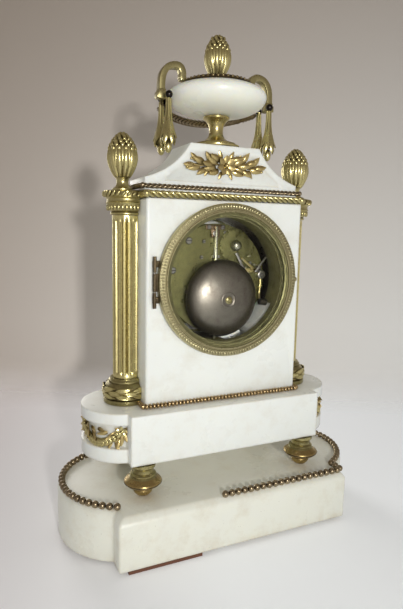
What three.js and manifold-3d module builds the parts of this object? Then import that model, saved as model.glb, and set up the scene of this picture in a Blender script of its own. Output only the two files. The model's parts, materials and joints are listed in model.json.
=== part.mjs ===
// Marble mantel clock with gilt mounts, an urn on top and a striking movement.
// Millimetres, +Z up. The dial faces -Y and the glazed rear door faces +Y.
import * as THREE from 'three';
import { mergeVertices } from 'three/addons/utils/BufferGeometryUtils.js';
import Module from 'manifold-3d';

const wasm = await Module();
wasm.setup();

// Driving dimensions: clearances
const GAP = 0.3;
const RUN = 0.25;

// Driving dimensions: case block with its bore and the pendulum pocket
const CASE = { halfW: 55, halfD: 21.6, height: 130, boreR: 41.5, headroom: 1.4 };
const POCKET = { halfW: 22, depth: 9, clear: 3 };
const CASE_BEAD = 3.4;

// Driving dimensions: upper plinth, set out from the case, and the garlands in its frieze
const UPPER = { ledgeX: 13, ledgeY: 12.4, lobeIn: 5.5, lobeBack: 6, height: 31.4 };
UPPER.halfW = CASE.halfW + UPPER.ledgeX;
UPPER.halfD = CASE.halfD + UPPER.ledgeY;
UPPER.lobeX = UPPER.halfW - UPPER.lobeIn;
UPPER.lobeR = UPPER.halfD - UPPER.lobeBack;
const FRIEZE = { sole: 9, band: 15, depth: 3.6, thick: 2.4, drop: 5.6, rise: 3, swags: 3 };

// Driving dimensions: feet under the corners of the upper plinth
const FOOT = { inX: 9.1, inY: 5.4, height: 21, neckR: 5.6, discR: 11.8, tipR: 4.2 };
FOOT.x = UPPER.halfW - FOOT.inX;
FOOT.y = UPPER.halfD - FOOT.inY;

// Driving dimensions: lower plinth, its beading and the board that it stands on
const LOWER = { ledgeX: 13, ledgeY: 19, lobeIn: 21, lobeBack: 7, height: 33, chamfer: 3.4 };
LOWER.halfW = UPPER.halfW + LOWER.ledgeX;
LOWER.halfD = UPPER.halfD + LOWER.ledgeY;
LOWER.lobeX = LOWER.halfW - LOWER.lobeIn;
LOWER.lobeR = LOWER.halfD - LOWER.lobeBack;
const LOWER_BEAD = 4.5;
const BEAD_START_X = 12;
const BOARD = { height: 2, inset: 6, tongueFrom: 28, tongueTo: 78, tongueInset: 0.6 };

// Driving dimensions: columns, half let into the sides of the case
const COLUMN = { stand: 6.5, base: 16.2, baseR: 14.6, capital: 10.2 };
COLUMN.x = CASE.halfW + COLUMN.stand;
const SHAFT = { r: 8.4, flutes: 16, fluteDepth: 1.1 };
const ABACUS_R = 14.6;
const CONE = { setOut: 2, height: 34, r: 9.9, footR: 6.2, neckR: 3.7, foot: 8 };

// Driving dimensions: cornice, pediment and their ropes
const CORNICE_ROPE = 4.6;
const PEDIMENT = { inX: 0.8, inY: 6.1, topHalfW: 24.5, sill: 7.6, rise: 22.4 };
PEDIMENT.halfW = CASE.halfW - PEDIMENT.inX;
PEDIMENT.halfD = CASE.halfD - PEDIMENT.inY;
const PEDIMENT_ROPE = 3.2;
const MOUNT = { halfW: 29, halfH: 7, thick: 2.2 };

// Driving dimensions: urn
const URN_FOOT = { r: 15.6, plate: 2.2, stemR: 4, height: 20 };
const BOWL = { r: 32.4, height: 18.6, belly: 11.6, rimR: 22 };
const COLLAR = { over: 0.6, height: 3.2 };
COLLAR.r = BOWL.rimR + COLLAR.over;
const URN_CONE = { r: 9.7, height: 27.4, neckR: 5, foot: 5 };
const HANDLE = { top: 9.8, over: 8.6, bar: 4.6, width: 6, pinDrop: 10.4, pinR: 1.2, block: 2 };
HANDLE.reach = BOWL.r + HANDLE.over;
const DROP = { over: 3.6, y: 6, length: 35, r: 4, ball: 2.4 };
DROP.x = BOWL.r + DROP.over;
const SWAG = { r: 2.4, sag: 4.5, tuck: 7.4 };
SWAG.bulge = BOWL.r - SWAG.tuck;

// Driving dimensions: glazed doors and the rings they hang on, set out from the bore
const DOOR = { over: 7.5, inset: 1.5, glassOver: 0.7, glass: 1.6 };
DOOR.outerR = CASE.boreR + DOOR.over;
DOOR.openR = CASE.boreR - DOOR.inset;
DOOR.glassSeatR = CASE.boreR + DOOR.glassOver;
const RING = { over: 4.5, inset: 1.3, rebate: 1, lip: 0.6, flange: 1.6, tube: 5, frontTube: 2 };
RING.outerR = CASE.boreR + RING.over;
RING.innerR = CASE.boreR - RING.inset;
const REAR_RIM = 5.4;
const FRONT_RIM = 6.2;
const FRONT_RING = 5.6;
const HINGE = { setOut: 1.9, r: 1.6, pinR: 0.8, half: 16, knuckle: 6 };
HINGE.x = DOOR.outerR + HINGE.setOut;

// Driving dimensions: movement, set in from the bore
const PLATE = { inset: 5, thick: 1.5, backY: 4, space: 20 };
PLATE.r = CASE.boreR - PLATE.inset;
const PILLAR = { r: 2.2, inset: 4, bearings: [10, 50, 170, 270] };
PILLAR.ring = PLATE.r - PILLAR.inset;
const DIAL = { inset: 0.5, thick: 1.4, hole: 3.2 };
DIAL.r = CASE.boreR - DIAL.inset;
const HANDS = { hour: 23, minute: 34, thick: 0.7, gap: 0.7 };
const BARREL = { r: 11.2, depth: 10.2, teeth: 20, module: 1.28, wheel: 2, x: 14.6, drop: 10.6 };
const CENTRE = { teeth: 20, leaves: 8, module: 0.89, arborR: 1.5 };
const THIRD = { teeth: 20, leaves: 8, module: 0.71, bearing: 56 };
const ESCAPE = { teeth: 20, r: 7.2, bearing: 120 };
const STRIKE = { leaves: 8, teeth: 10, countTeeth: 20, module: 1, bearing: 97, countX: -13, countRise: 21.9 };
const COUNT_WHEEL = { r: 11.6, thick: 1, notches: 12, boss: 3.4 };
const WHEEL = 1.5;
const ARBOR_R = 1.1;
const WINDING_R = 1.9;
const PENDULUM = { rise: 3.9, lift: 8.1, bobR: 12.5, bobThick: 5.4, rodR: 0.8, y: 8.4, tail: 1.6 };
const CRUTCH = { drop: 12, halfW: 0.7, thick: 1, fork: 1.6 };
const SUSPENSION = { halfW: 7, tongueHalfW: 3, drop: 1.2, rise: 2 };
const PALLET_RISE = 10.6;
const BELL = { inset: 15.5, depth: 11, wall: 1, x: -1.5, drop: 13.1, rimY: 10.6, postR: 1 };
BELL.r = CASE.boreR - BELL.inset;
const HAMMER = { inset: 8.3, rise: 2, reach: 19, wireR: 0.8, eyeR: 3, eye: 3.7 };
HAMMER.x = HAMMER.inset - CASE.boreR;
const HAMMER_HEAD = { r: 2.4, length: 5.2, back: 1.4 };

// Levels worked out from the driving dimensions
const Z_LOWER = BOARD.height;
const Z_FOOT = Z_LOWER + LOWER.height + GAP;
const Z_UPPER = Z_FOOT + FOOT.height + GAP;
const Z_CASE = Z_UPPER + UPPER.height;
const Z_CORNICE = Z_CASE + CASE.height;
const Z_PEDIMENT = Z_CORNICE + CORNICE_ROPE + GAP;
const Z_URN = Z_PEDIMENT + PEDIMENT.sill + PEDIMENT.rise;
const Z_BOWL = Z_URN + URN_FOOT.height + GAP;
const Z_COLLAR = Z_BOWL + BOWL.height + GAP;
const Z_CONE = Z_COLLAR + COLLAR.height + GAP;
const DIAL_Z = Z_CORNICE - DOOR.outerR - CASE.headroom;
const FRONT_PLATE_Y = PLATE.backY - PLATE.space;

// Materials
const paint = (colour, roughness, metalness) =>
  new THREE.MeshStandardMaterial({ color: colour, roughness, metalness });
const MARBLE = paint(0xe9e6dc, 0.4, 0);
const GILT = paint(0xb8923f, 0.35, 1);
const DULL_BRASS = paint(0x8a7a3c, 0.45, 1);
const DARK_BRONZE = paint(0x4a3826, 0.5, 1);
const STEEL = paint(0x6d6c68, 0.35, 1);
const BELL_METAL = paint(0x6b5d4c, 0.4, 1);
const GLASS = paint(0xe8efe8, 0.05, 0);
const ENAMEL = paint(0xf3f0e6, 0.25, 0);
const BROWN_BOARD = paint(0x7a3b24, 0.95, 0);

const clock = new THREE.Group();

function addPiece(name, geometry, material) {
  const mesh = new THREE.Mesh(geometry, material);
  mesh.name = name;
  clock.add(mesh);
  return mesh;
}

// Solids: between three.js geometry and manifold-3d
function toSolid(geometry) {
  const bare = geometry.index ? geometry.clone() : geometry;
  bare.deleteAttribute('normal');
  bare.deleteAttribute('uv');
  const welded = mergeVertices(bare, 1e-4);
  return new wasm.Manifold(new wasm.Mesh({
    numProp: 3,
    vertProperties: Float32Array.from(welded.attributes.position.array),
    triVerts: Uint32Array.from(welded.index.array),
  }));
}

function toGeometry(solid) {
  const mesh = solid.getMesh();
  const geometry = new THREE.BufferGeometry();
  geometry.setAttribute('position', new THREE.BufferAttribute(Float32Array.from(mesh.vertProperties), 3));
  geometry.setIndex(new THREE.BufferAttribute(Uint32Array.from(mesh.triVerts), 1));
  return geometry;
}

const join = (...geometries) => toGeometry(geometries.map(toSolid).reduce((a, b) => a.add(b)));
const cut = (geometry, ...tools) =>
  toGeometry(tools.map(toSolid).reduce((a, b) => a.subtract(b), toSolid(geometry)));

// Shapes: boxes by their corners, turned pieces, plates and sweeps
function box(x0, x1, y0, y1, z0, z1) {
  const geometry = new THREE.BoxGeometry(x1 - x0, y1 - y0, z1 - z0);
  return geometry.translate((x0 + x1) / 2, (y0 + y1) / 2, (z0 + z1) / 2);
}

function turnedY(profile, segments) {
  return new THREE.LatheGeometry(profile.map(([r, y]) => new THREE.Vector2(r, y)), segments);
}

function turnedZ(profile, segments) {
  return turnedY(profile, segments).rotateX(Math.PI / 2);
}

// A flat plate: its outline lies in X and Z, and it runs from y to y + thick
function plateY(shape, y, thick, curveSegments = 12) {
  const geometry = new THREE.ExtrudeGeometry(shape, { depth: thick, bevelEnabled: false, curveSegments });
  return geometry.rotateX(Math.PI / 2).translate(0, y + thick, 0);
}

function polygon(points) {
  return new THREE.Shape(points.map(([x, y]) => new THREE.Vector2(x, y)));
}

const steps = (count, make) => Array.from({ length: count }, (_, i) => make(i));

function ringPoints(r, sides, x = 0, z = 0) {
  return steps(sides, (i) => {
    const angle = 2 * Math.PI * i / sides;
    return [x + r * Math.cos(angle), z + r * Math.sin(angle)];
  });
}

function circleHole(shape, x, z, r, sides = 10) {
  const points = ringPoints(r, sides, x, z).reverse();
  shape.holes.push(new THREE.Path(points.map(([px, pz]) => new THREE.Vector2(px, pz))));
}

const disc = (r, sides) => polygon(ringPoints(r, sides));

// A rod along Y
function rodY(r, x, z, y0, y1, segments = 10) {
  const profile = [[0, y0], [r, y0], [r, y1], [0, y1]];
  return turnedY(profile, segments).translate(x, 0, z);
}

// A skin over rows of points; each row closes on itself, and the ends are capped or joined
function skin(rows, looped) {
  const count = rows[0].length;
  const positions = rows.flat().flatMap((p) => [p.x, p.y, p.z]);
  const faces = [];
  const last = looped ? rows.length : rows.length - 1;
  for (let i = 0; i < last; i += 1) {
    const next = (i + 1) % rows.length;
    for (let j = 0; j < count; j += 1) {
      const k = (j + 1) % count;
      faces.push(i * count + j, next * count + k, next * count + j);
      faces.push(i * count + j, i * count + k, next * count + k);
    }
  }
  if (!looped) {
    for (const [row, flip] of [[0, true], [rows.length - 1, false]]) {
      for (const [a, b, c] of capFaces(rows[row])) {
        const corners = flip ? [c, b, a] : [a, b, c];
        faces.push(...corners.map((corner) => row * count + corner));
      }
    }
  }
  const geometry = new THREE.BufferGeometry();
  geometry.setAttribute('position', new THREE.Float32BufferAttribute(positions, 3));
  geometry.setIndex(faces);
  return facingOut(geometry);
}

// Triangles that close a flat ring of points, whatever plane it lies in
function capFaces(row) {
  const normal = new THREE.Vector3();
  row.forEach((p, i) => normal.add(new THREE.Vector3().crossVectors(p, row[(i + 1) % row.length])));
  const turn = new THREE.Quaternion().setFromUnitVectors(normal.normalize(), new THREE.Vector3(0, 0, 1));
  const flat = row.map((p) => p.clone().applyQuaternion(turn)).map((p) => new THREE.Vector2(p.x, p.y));
  return THREE.ShapeUtils.triangulateShape(flat, []);
}

function facingOut(geometry) {
  const p = geometry.attributes.position;
  const index = geometry.index.array;
  const corner = (i) => new THREE.Vector3().fromBufferAttribute(p, index[i]);
  let volume = 0;
  for (let i = 0; i < index.length; i += 3) {
    volume += corner(i).dot(new THREE.Vector3().crossVectors(corner(i + 1), corner(i + 2)));
  }
  if (volume < 0) {
    for (let i = 0; i < index.length; i += 3) {
      [index[i + 1], index[i + 2]] = [index[i + 2], index[i + 1]];
    }
  }
  return geometry;
}

const rad = (degrees) => degrees * Math.PI / 180;

// Plinths: a block with a round lobe at each end
function plinthOutline(size, inset, arcSteps) {
  const halfW = size.halfW - inset;
  const halfD = size.halfD - inset;
  const r = size.lobeR - inset;
  const start = Math.acos((halfW - size.lobeX) / r);
  const arc = (turn) => steps(arcSteps + 1, (i) => {
    const angle = turn - start + 2 * start * i / arcSteps;
    return [Math.cos(turn) * size.lobeX + r * Math.cos(angle), r * Math.sin(angle)];
  });
  return [[halfW, -halfD], ...arc(0), [halfW, halfD], [-halfW, halfD], ...arc(Math.PI), [-halfW, -halfD]];
}

const atHeight = (outline, z) => outline.map(([x, y]) => new THREE.Vector3(x, y, z));

function lowerPlinth() {
  const arcSteps = 22;
  const block = skin([
    atHeight(plinthOutline(LOWER, 0, arcSteps), Z_LOWER),
    atHeight(plinthOutline(LOWER, 0, arcSteps), Z_LOWER + LOWER.height - LOWER.chamfer),
    atHeight(plinthOutline(LOWER, LOWER.chamfer, arcSteps), Z_LOWER + LOWER.height),
  ], false);
  addPiece('lower_plinth', block, MARBLE);
}

// Board under the plinth: set in all round, with a tongue that shows at the back edge
function baseBoard() {
  const arcSteps = 10;
  const outline = plinthOutline(LOWER, BOARD.inset, arcSteps);
  const backCorner = arcSteps + 3;
  const lip = LOWER.halfD - BOARD.tongueInset;
  const root = LOWER.halfD - BOARD.inset;
  const edge = LOWER.halfW - BOARD.inset;
  const tongue = [[Math.min(BOARD.tongueTo, edge), root], [Math.min(BOARD.tongueTo, edge), lip],
    [BOARD.tongueFrom, lip], [BOARD.tongueFrom, root]];
  const points = [...outline.slice(0, backCorner - 1), ...tongue, ...outline.slice(backCorner)];
  const sheet = new THREE.ExtrudeGeometry(polygon(points), { depth: BOARD.height, bevelEnabled: false });
  addPiece('base_board', sheet, BROWN_BOARD);
}

// A strip with a domed section, seated on a sloping edge and run along an open or closed outline
function edgeStrip(outlineAt, z, size, slope, looped) {
  const seat = GAP;
  const sides = 6;
  const section = steps(sides, (i) => {
    const angle = slope + Math.PI * (i / (sides - 1) - 0.5);
    return [Math.cos(angle) * size + seat * Math.cos(slope), Math.sin(angle) * size + seat * Math.sin(slope)];
  });
  const rings = section.map(([out, up]) => atHeight(outlineAt(-out), z + up));
  const rows = rings[0].map((_, i) => rings.map((ring) => ring[i]));
  return skin(rows, looped);
}

function lowerBeading() {
  const arcSteps = 16;
  const outline = (inset) => {
    const all = plinthOutline(LOWER, inset + LOWER.chamfer, arcSteps);
    const leftCorner = arcSteps + 2;
    const path = [...all.slice(leftCorner + 1), ...all.slice(0, leftCorner)];
    return [[BEAD_START_X, LOWER.halfD - inset - LOWER.chamfer], ...path];
  };
  const slope = rad(67.5);
  const strip = edgeStrip(outline, Z_LOWER + LOWER.height, LOWER_BEAD / 2, slope, false);
  addPiece('lower_plinth_beading', strip, DARK_BRONZE);
}

function feet() {
  const h = FOOT.height;
  const profile = [
    [0, 0], [FOOT.tipR, 0], [FOOT.tipR * 1.3, h * 0.12], [FOOT.discR * 0.6, h * 0.24],
    [FOOT.discR * 0.86, h * 0.34], [FOOT.discR, h * 0.42], [FOOT.discR, h * 0.5],
    [FOOT.discR * 0.72, h * 0.58], [FOOT.discR * 0.66, h * 0.66], [FOOT.neckR, h * 0.72], [FOOT.neckR, h],
    [0, h],
  ];
  for (const [end, y] of [['rear', FOOT.y], ['front', -FOOT.y]]) {
    for (const [side, x] of [['left', FOOT.x], ['right', -FOOT.x]]) {
      addPiece(`foot_${end}_${side}`, turnedZ(profile, 12).translate(x, y, Z_FOOT), GILT);
    }
  }
}

function upperPlinth() {
  const { halfW, halfD, lobeX, lobeR, height } = UPPER;
  const core = lobeR - FRIEZE.depth;
  const bandTop = FRIEZE.sole + FRIEZE.band;
  const lobe = [[0, 0], [lobeR, 0], [lobeR, FRIEZE.sole], [core, FRIEZE.sole], [core, bandTop],
    [lobeR, bandTop], [lobeR, height], [0, height]];
  const block = box(-halfW, halfW, -halfD, halfD, Z_UPPER, Z_UPPER + height);
  const ends = [lobeX, -lobeX].map((x) => turnedZ(lobe, 30).translate(x, 0, Z_UPPER));
  addPiece('upper_plinth', join(block, ...ends), MARBLE);
}

// A garland of swags in the frieze of one end
function friezeGarland(name, x) {
  const inner = UPPER.lobeR - FRIEZE.depth + GAP;
  const outer = inner + FRIEZE.thick;
  const middle = Z_UPPER + FRIEZE.sole + FRIEZE.band / 2;
  const sweep = Math.acos((UPPER.halfW + GAP - UPPER.lobeX) / inner);
  const perSwag = 9;
  const count = FRIEZE.swags * perSwag;
  const rows = steps(count + 1, (i) => {
    const angle = sweep * (2 * i / count - 1);
    const across = Math.abs(Math.sin(Math.PI * FRIEZE.swags * i / count));
    const low = middle - FRIEZE.drop * (0.35 + 0.65 * across);
    const high = middle + FRIEZE.rise * (1 - 0.75 * across) + 1;
    const at = (r, z) => new THREE.Vector3(x + Math.sign(x) * r * Math.cos(angle), r * Math.sin(angle), z);
    return [at(inner, low), at(outer, low), at(outer, high), at(inner, high)];
  });
  addPiece(name, skin(rows, false), GILT);
}

function caseBlock() {
  const bore = turnedY([[0, -CASE.halfD - 1], [CASE.boreR, -CASE.halfD - 1], [CASE.boreR, CASE.halfD + 1],
    [0, CASE.halfD + 1]], 44).translate(0, 0, DIAL_Z);
  const pocketY = PENDULUM.y - POCKET.depth / 2;
  const floor = Z_CASE + PENDULUM.lift - POCKET.clear;
  const pocket = box(-POCKET.halfW, POCKET.halfW, pocketY, pocketY + POCKET.depth, floor, DIAL_Z);
  const block = box(-CASE.halfW, CASE.halfW, -CASE.halfD, CASE.halfD, Z_CASE, Z_CORNICE);
  addPiece('case_block', cut(block, bore, pocket), MARBLE);
}

// Beading round the foot of the case, from one column base along a face to the other
function caseBeading(name, side) {
  const stop = COLUMN.baseR + GAP;
  const half = CASE_BEAD / 2;
  const outline = (inset) => [
    [CASE.halfW - inset, side * stop], [CASE.halfW - inset, side * (CASE.halfD - inset)],
    [-CASE.halfW + inset, side * (CASE.halfD - inset)], [-CASE.halfW + inset, side * stop],
  ];
  const section = [[GAP, GAP], [CASE_BEAD, GAP], [CASE_BEAD + GAP, half], [half + GAP, CASE_BEAD],
    [GAP, CASE_BEAD]];
  const rings = section.map(([out, up]) => atHeight(outline(-out), Z_CASE + up));
  const rows = rings[0].map((_, i) => rings.map((ring) => ring[i]));
  addPiece(name, skin(rows, false), GILT);
}

// Columns stand flat-backed against the sides of the case
function columns() {
  const flat = CASE.halfW + GAP;
  const shaftLow = COLUMN.base + GAP;
  const shaftHigh = CASE.height - COLUMN.capital - GAP;
  const points = SHAFT.flutes * 4;
  const shaftOutline = steps(points, (i) => {
    const angle = 2 * Math.PI * i / points;
    const hollow = [0, 0.75, 1, 0.75][i % 4] * SHAFT.fluteDepth;
    const r = SHAFT.r - hollow;
    return [Math.max(r * Math.cos(angle), flat - COLUMN.x), r * Math.sin(angle)];
  });
  const R = COLUMN.baseR;
  const H = COLUMN.base;
  const base = [[0, GAP], [R, GAP], [R, H * 0.27], [R - 1.8, H * 0.31], [R - 0.4, H * 0.43], [R, H * 0.58],
    [R - 0.8, H * 0.77], [R - 2.8, H * 0.85], [R - 3.6, H * 0.88], [R - 3.6, H], [0, H]];
  const low = CASE.height - COLUMN.capital;
  const bell = COLUMN.capital;
  const ropeLow = CASE.height;
  const ropeTop = CASE.height + CORNICE_ROPE;
  const A = ABACUS_R;
  const capital = [[0, low], [SHAFT.r + 1, low], [SHAFT.r + 1, low + bell * 0.13],
    [SHAFT.r + 0.4, low + bell * 0.18], [A - 3.4, low + bell * 0.43], [A - 2.2, low + bell * 0.63],
    [A - 2.6, low + bell * 0.69], [A - 2.6, ropeLow], [A - 0.6, ropeLow + GAP],
    [A, ropeLow + CORNICE_ROPE / 2], [A - 0.6, ropeTop - GAP], [A - 2.4, ropeTop], [0, ropeTop]];
  const behind = box(-COLUMN.x, flat - COLUMN.x, -A * 2, A * 2, -1, ropeTop + 1);
  const ropeRoom = flat + CORNICE_ROPE / 2 + GAP - COLUMN.x;
  const ropeWay = box(-COLUMN.x, ropeRoom, -A * 2, A * 2, CASE.height - GAP, ropeTop + 1);
  for (const [side, turn] of [['left', 0], ['right', Math.PI]]) {
    const place = (geometry) => geometry.translate(COLUMN.x, 0, Z_CASE).rotateZ(turn);
    const depth = shaftHigh - shaftLow;
    const shaft = new THREE.ExtrudeGeometry(polygon(shaftOutline), { depth, bevelEnabled: false });
    addPiece(`column_base_${side}`, place(cut(turnedZ(base, 18), behind)), GILT);
    addPiece(`column_shaft_${side}`, place(shaft.translate(0, 0, shaftLow)), GILT);
    addPiece(`column_capital_${side}`, place(cut(turnedZ(capital, 18), behind, ropeWay)), GILT);
    const cone = pineCone(CONE.height, CONE.r, CONE.footR, CONE.neckR, CONE.foot);
    addPiece(`column_finial_${side}`, place(cone.translate(CONE.setOut, 0, ropeTop + GAP)), GILT);
  }
}

// A pine cone on a waisted foot
function pineCone(height, r, footR, neckR, foot) {
  const cone = height - foot;
  const swell = [[0.04, 0.55], [0.16, 0.82], [0.32, 0.98], [0.44, 1], [0.6, 0.93], [0.76, 0.74], [0.9, 0.44],
    [0.97, 0.24]];
  const profile = [[0, 0], [footR, 0], [footR * 0.94, foot * 0.14], [neckR * 1.1, foot * 0.34],
    [neckR, foot * 0.6], [neckR * 1.1, foot], ...swell.map(([up, out]) => [r * out, foot + cone * up]),
    [0, height]];
  return turnedZ(profile, 10);
}

// Ropes: a round moulding mitred round a rectangle
function ropeLoop(name, halfX, halfY, z, size, material) {
  const sides = 8;
  const rows = [[1, 1], [-1, 1], [-1, -1], [1, -1]].map(([sx, sy]) => steps(sides, (i) => {
    const angle = 2 * Math.PI * (i + 0.5) / sides;
    const out = Math.cos(angle) * size / 2;
    return new THREE.Vector3(sx * (halfX + out), sy * (halfY + out), z + Math.sin(angle) * size / 2);
  }));
  addPiece(name, skin(rows, true), material);
}

function pediment() {
  const base = Z_PEDIMENT;
  const sill = base + PEDIMENT.sill;
  const outline = new THREE.Shape();
  outline.moveTo(-PEDIMENT.halfW, base);
  outline.lineTo(PEDIMENT.halfW, base);
  outline.lineTo(PEDIMENT.halfW, sill);
  const elbowX = PEDIMENT.topHalfW + (PEDIMENT.halfW - PEDIMENT.topHalfW) * 0.3;
  const elbowZ = sill + PEDIMENT.rise * 0.27;
  outline.quadraticCurveTo(elbowX, elbowZ, PEDIMENT.topHalfW, Z_URN);
  outline.lineTo(-PEDIMENT.topHalfW, Z_URN);
  outline.quadraticCurveTo(-elbowX, elbowZ, -PEDIMENT.halfW, sill);
  const block = plateY(outline, -PEDIMENT.halfD, 2 * PEDIMENT.halfD, 10);
  const half = CORNICE_ROPE / 2;
  const slabX = CASE.halfW - half - GAP;
  const slabY = CASE.halfD - half - GAP;
  const slab = box(-slabX, slabX, -slabY, slabY, Z_CORNICE + GAP, base + 0.5);
  addPiece('pediment_block', join(block, slab), MARBLE);
  ropeLoop('cornice_rope', CASE.halfW, CASE.halfD, Z_CORNICE + half + GAP / 2, CORNICE_ROPE, GILT);
  const upper = PEDIMENT_ROPE / 2 + GAP;
  const upperZ = base + upper + 2 * GAP;
  const upperX = PEDIMENT.halfW + upper;
  const upperY = PEDIMENT.halfD + upper;
  ropeLoop('pediment_rope', upperX, upperY, upperZ, PEDIMENT_ROPE, DARK_BRONZE);
  for (const [name, side] of [['pediment_mount_rear', 1], ['pediment_mount_front', -1]]) {
    addPiece(name, pedimentMount(side, sill + PEDIMENT.rise * 0.42), GILT);
  }
}

// A flower with a spray to each side, drawn as one leafy outline
function pedimentMount(side, z) {
  const lobes = 5;
  const upper = steps(25, (i) => {
    const along = 1 - i / 12;
    const spray = Math.abs(Math.cos(Math.PI * lobes * along / 2));
    const taper = Math.sqrt(Math.max(0.04, 1 - Math.abs(along) ** 2));
    return [along * MOUNT.halfW, (0.45 + 0.55 * spray) * taper * MOUNT.halfH];
  });
  const lower = upper.slice(1, -1).map(([x, h]) => [x, -h * 0.9]).reverse();
  const outline = [...upper, ...lower].map(([x, h]) => [x, z + h]);
  const face = side * (PEDIMENT.halfD + GAP);
  return plateY(polygon(outline), Math.min(face, face + side * MOUNT.thick), MOUNT.thick);
}

function urn() {
  const f = URN_FOOT;
  const foot = [[0, GAP], [f.r, GAP], [f.r, f.plate], [f.r * 0.86, f.plate + 1], [f.r * 0.5, f.plate + 3.4],
    [f.stemR * 1.15, f.height * 0.5], [f.stemR, f.height * 0.66], [f.stemR * 1.3, f.height * 0.8],
    [f.stemR * 2, f.height * 0.92], [f.stemR * 2.1, f.height], [0, f.height]];
  addPiece('urn_foot', turnedZ(foot, 16).translate(0, 0, Z_URN), GILT);
  addPiece('urn_bowl', turnedZ(bowlProfile(), 24).translate(0, 0, Z_BOWL), MARBLE);
  const c = COLLAR;
  const collar = [[0, 0], [c.r, 0], [c.r + 0.4, c.height * 0.4], [c.r - 0.6, c.height * 0.8],
    [c.r - 3, c.height], [0, c.height]];
  addPiece('urn_collar', turnedZ(collar, 22).translate(0, 0, Z_COLLAR), DARK_BRONZE);
  const cone = pineCone(URN_CONE.height, URN_CONE.r, URN_CONE.neckR * 1.2, URN_CONE.neckR, URN_CONE.foot);
  addPiece('urn_finial', cone.translate(0, 0, Z_CONE), GILT);
}

// The bowl: two quarter ellipses that meet at the belly
function bowlProfile() {
  const b = BOWL;
  const foot = URN_FOOT.stemR * 2.1;
  const under = steps(6, (i) => {
    const a = rad(-90 + 18 * i);
    return [foot + (b.r - foot) * Math.cos(a), b.belly + b.belly * Math.sin(a)];
  });
  const rise = b.height - b.belly;
  const top = Math.acos((b.rimR - foot) / (b.r - foot));
  const over = steps(3, (i) => {
    const a = top * (i + 1) / 3;
    return [foot + (b.r - foot) * Math.cos(a), b.belly + rise * Math.sin(a) / Math.sin(top)];
  });
  return [[0, 0], ...under, ...over, [0, b.height]];
}

// Scroll handles: a flat bar that rises from the collar, turns over and ends in a block with a cross pin
function handles() {
  const z = Z_COLLAR;
  const start = COLLAR.r + HANDLE.bar / 2 + 1;
  const top = z + HANDLE.top;
  const out = HANDLE.reach - HANDLE.bar / 2;
  const pinZ = z - HANDLE.pinDrop;
  const span = out - start;
  const way = [[start, z + GAP], [start + span * 0.07, z + HANDLE.top * 0.5],
    [start + span * 0.37, top - HANDLE.bar / 2], [out - span * 0.27, top - HANDLE.bar],
    [out, z + HANDLE.top * 0.1], [out, pinZ - HANDLE.block]];
  const curve = new THREE.CatmullRomCurve3(way.map(([x, h]) => new THREE.Vector3(x, 0, h)));
  const rows = curve.getPoints(18).map((p, i, all) => {
    const ahead = all[Math.min(i + 1, all.length - 1)].clone().sub(all[Math.max(i - 1, 0)]).normalize();
    const across = new THREE.Vector3(-ahead.z, 0, ahead.x).multiplyScalar(HANDLE.bar / 2);
    const wide = new THREE.Vector3(0, HANDLE.width / 2, 0);
    return [[1, 1], [1, -1], [-1, -1], [-1, 1]].map(([a, w]) => p.clone()
      .addScaledVector(across, a).addScaledVector(wide, w));
  });
  const pin = rodY(HANDLE.pinR, DROP.x, pinZ, -DROP.y + DROP.ball, DROP.y - DROP.ball, 8);
  const halfWidth = HANDLE.width / 2;
  const inner = DROP.x - HANDLE.block;
  const boss = box(inner, out, -halfWidth, halfWidth, pinZ - HANDLE.block, pinZ + HANDLE.block);
  const handle = join(skin(rows, false), pin, boss);
  for (const [side, turn] of [['left', 0], ['right', Math.PI]]) {
    addPiece(`urn_handle_${side}`, handle.clone().rotateZ(turn), DULL_BRASS);
    addPiece(`urn_drop_${side}`, huskDrop(turn === 0 ? DROP.x : -DROP.x, DROP.y + GAP, pinZ), GILT);
  }
  addPiece('urn_garland', frontGarland(pinZ), DARK_BRONZE);
}

// A drop of husks below a ball screw
function huskDrop(x, y, z) {
  const L = DROP.length;
  const profile = [[0, -L], [DROP.r * 0.3, -L * 0.97], [DROP.r * 0.5, -L * 0.83], [DROP.r * 0.9, -L * 0.63],
    [DROP.r, -L * 0.46], [DROP.r * 0.62, -L * 0.29], [DROP.r * 0.34, -DROP.ball * 2],
    [DROP.ball, -DROP.ball], [DROP.ball, DROP.ball * 0.4], [0, DROP.ball]];
  return turnedZ(profile, 8).translate(x, y, z);
}

// The garland hangs in front of the bowl from the front drops, cast in one with them
function frontGarland(z) {
  const y = -DROP.y - GAP;
  const count = 14;
  const rows = steps(count + 1, (i) => {
    const along = 2 * i / count - 1;
    const hang = 1 - along * along;
    const r = SWAG.r * (0.7 + 0.6 * hang);
    const low = z - DROP.ball - SWAG.sag * hang;
    const centre = new THREE.Vector3(along * DROP.x, y - SWAG.bulge * Math.sqrt(hang), low);
    return steps(6, (j) => {
      const angle = 2 * Math.PI * j / 6;
      const away = Math.cos(angle) * r;
      const tilt = along * 0.9;
      const reach = new THREE.Vector3(away * Math.sin(tilt), -away * Math.cos(tilt), Math.sin(angle) * r);
      return centre.clone().add(reach);
    });
  });
  return join(skin(rows, false), huskDrop(DROP.x, y, z), huskDrop(-DROP.x, y, z));
}

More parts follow.
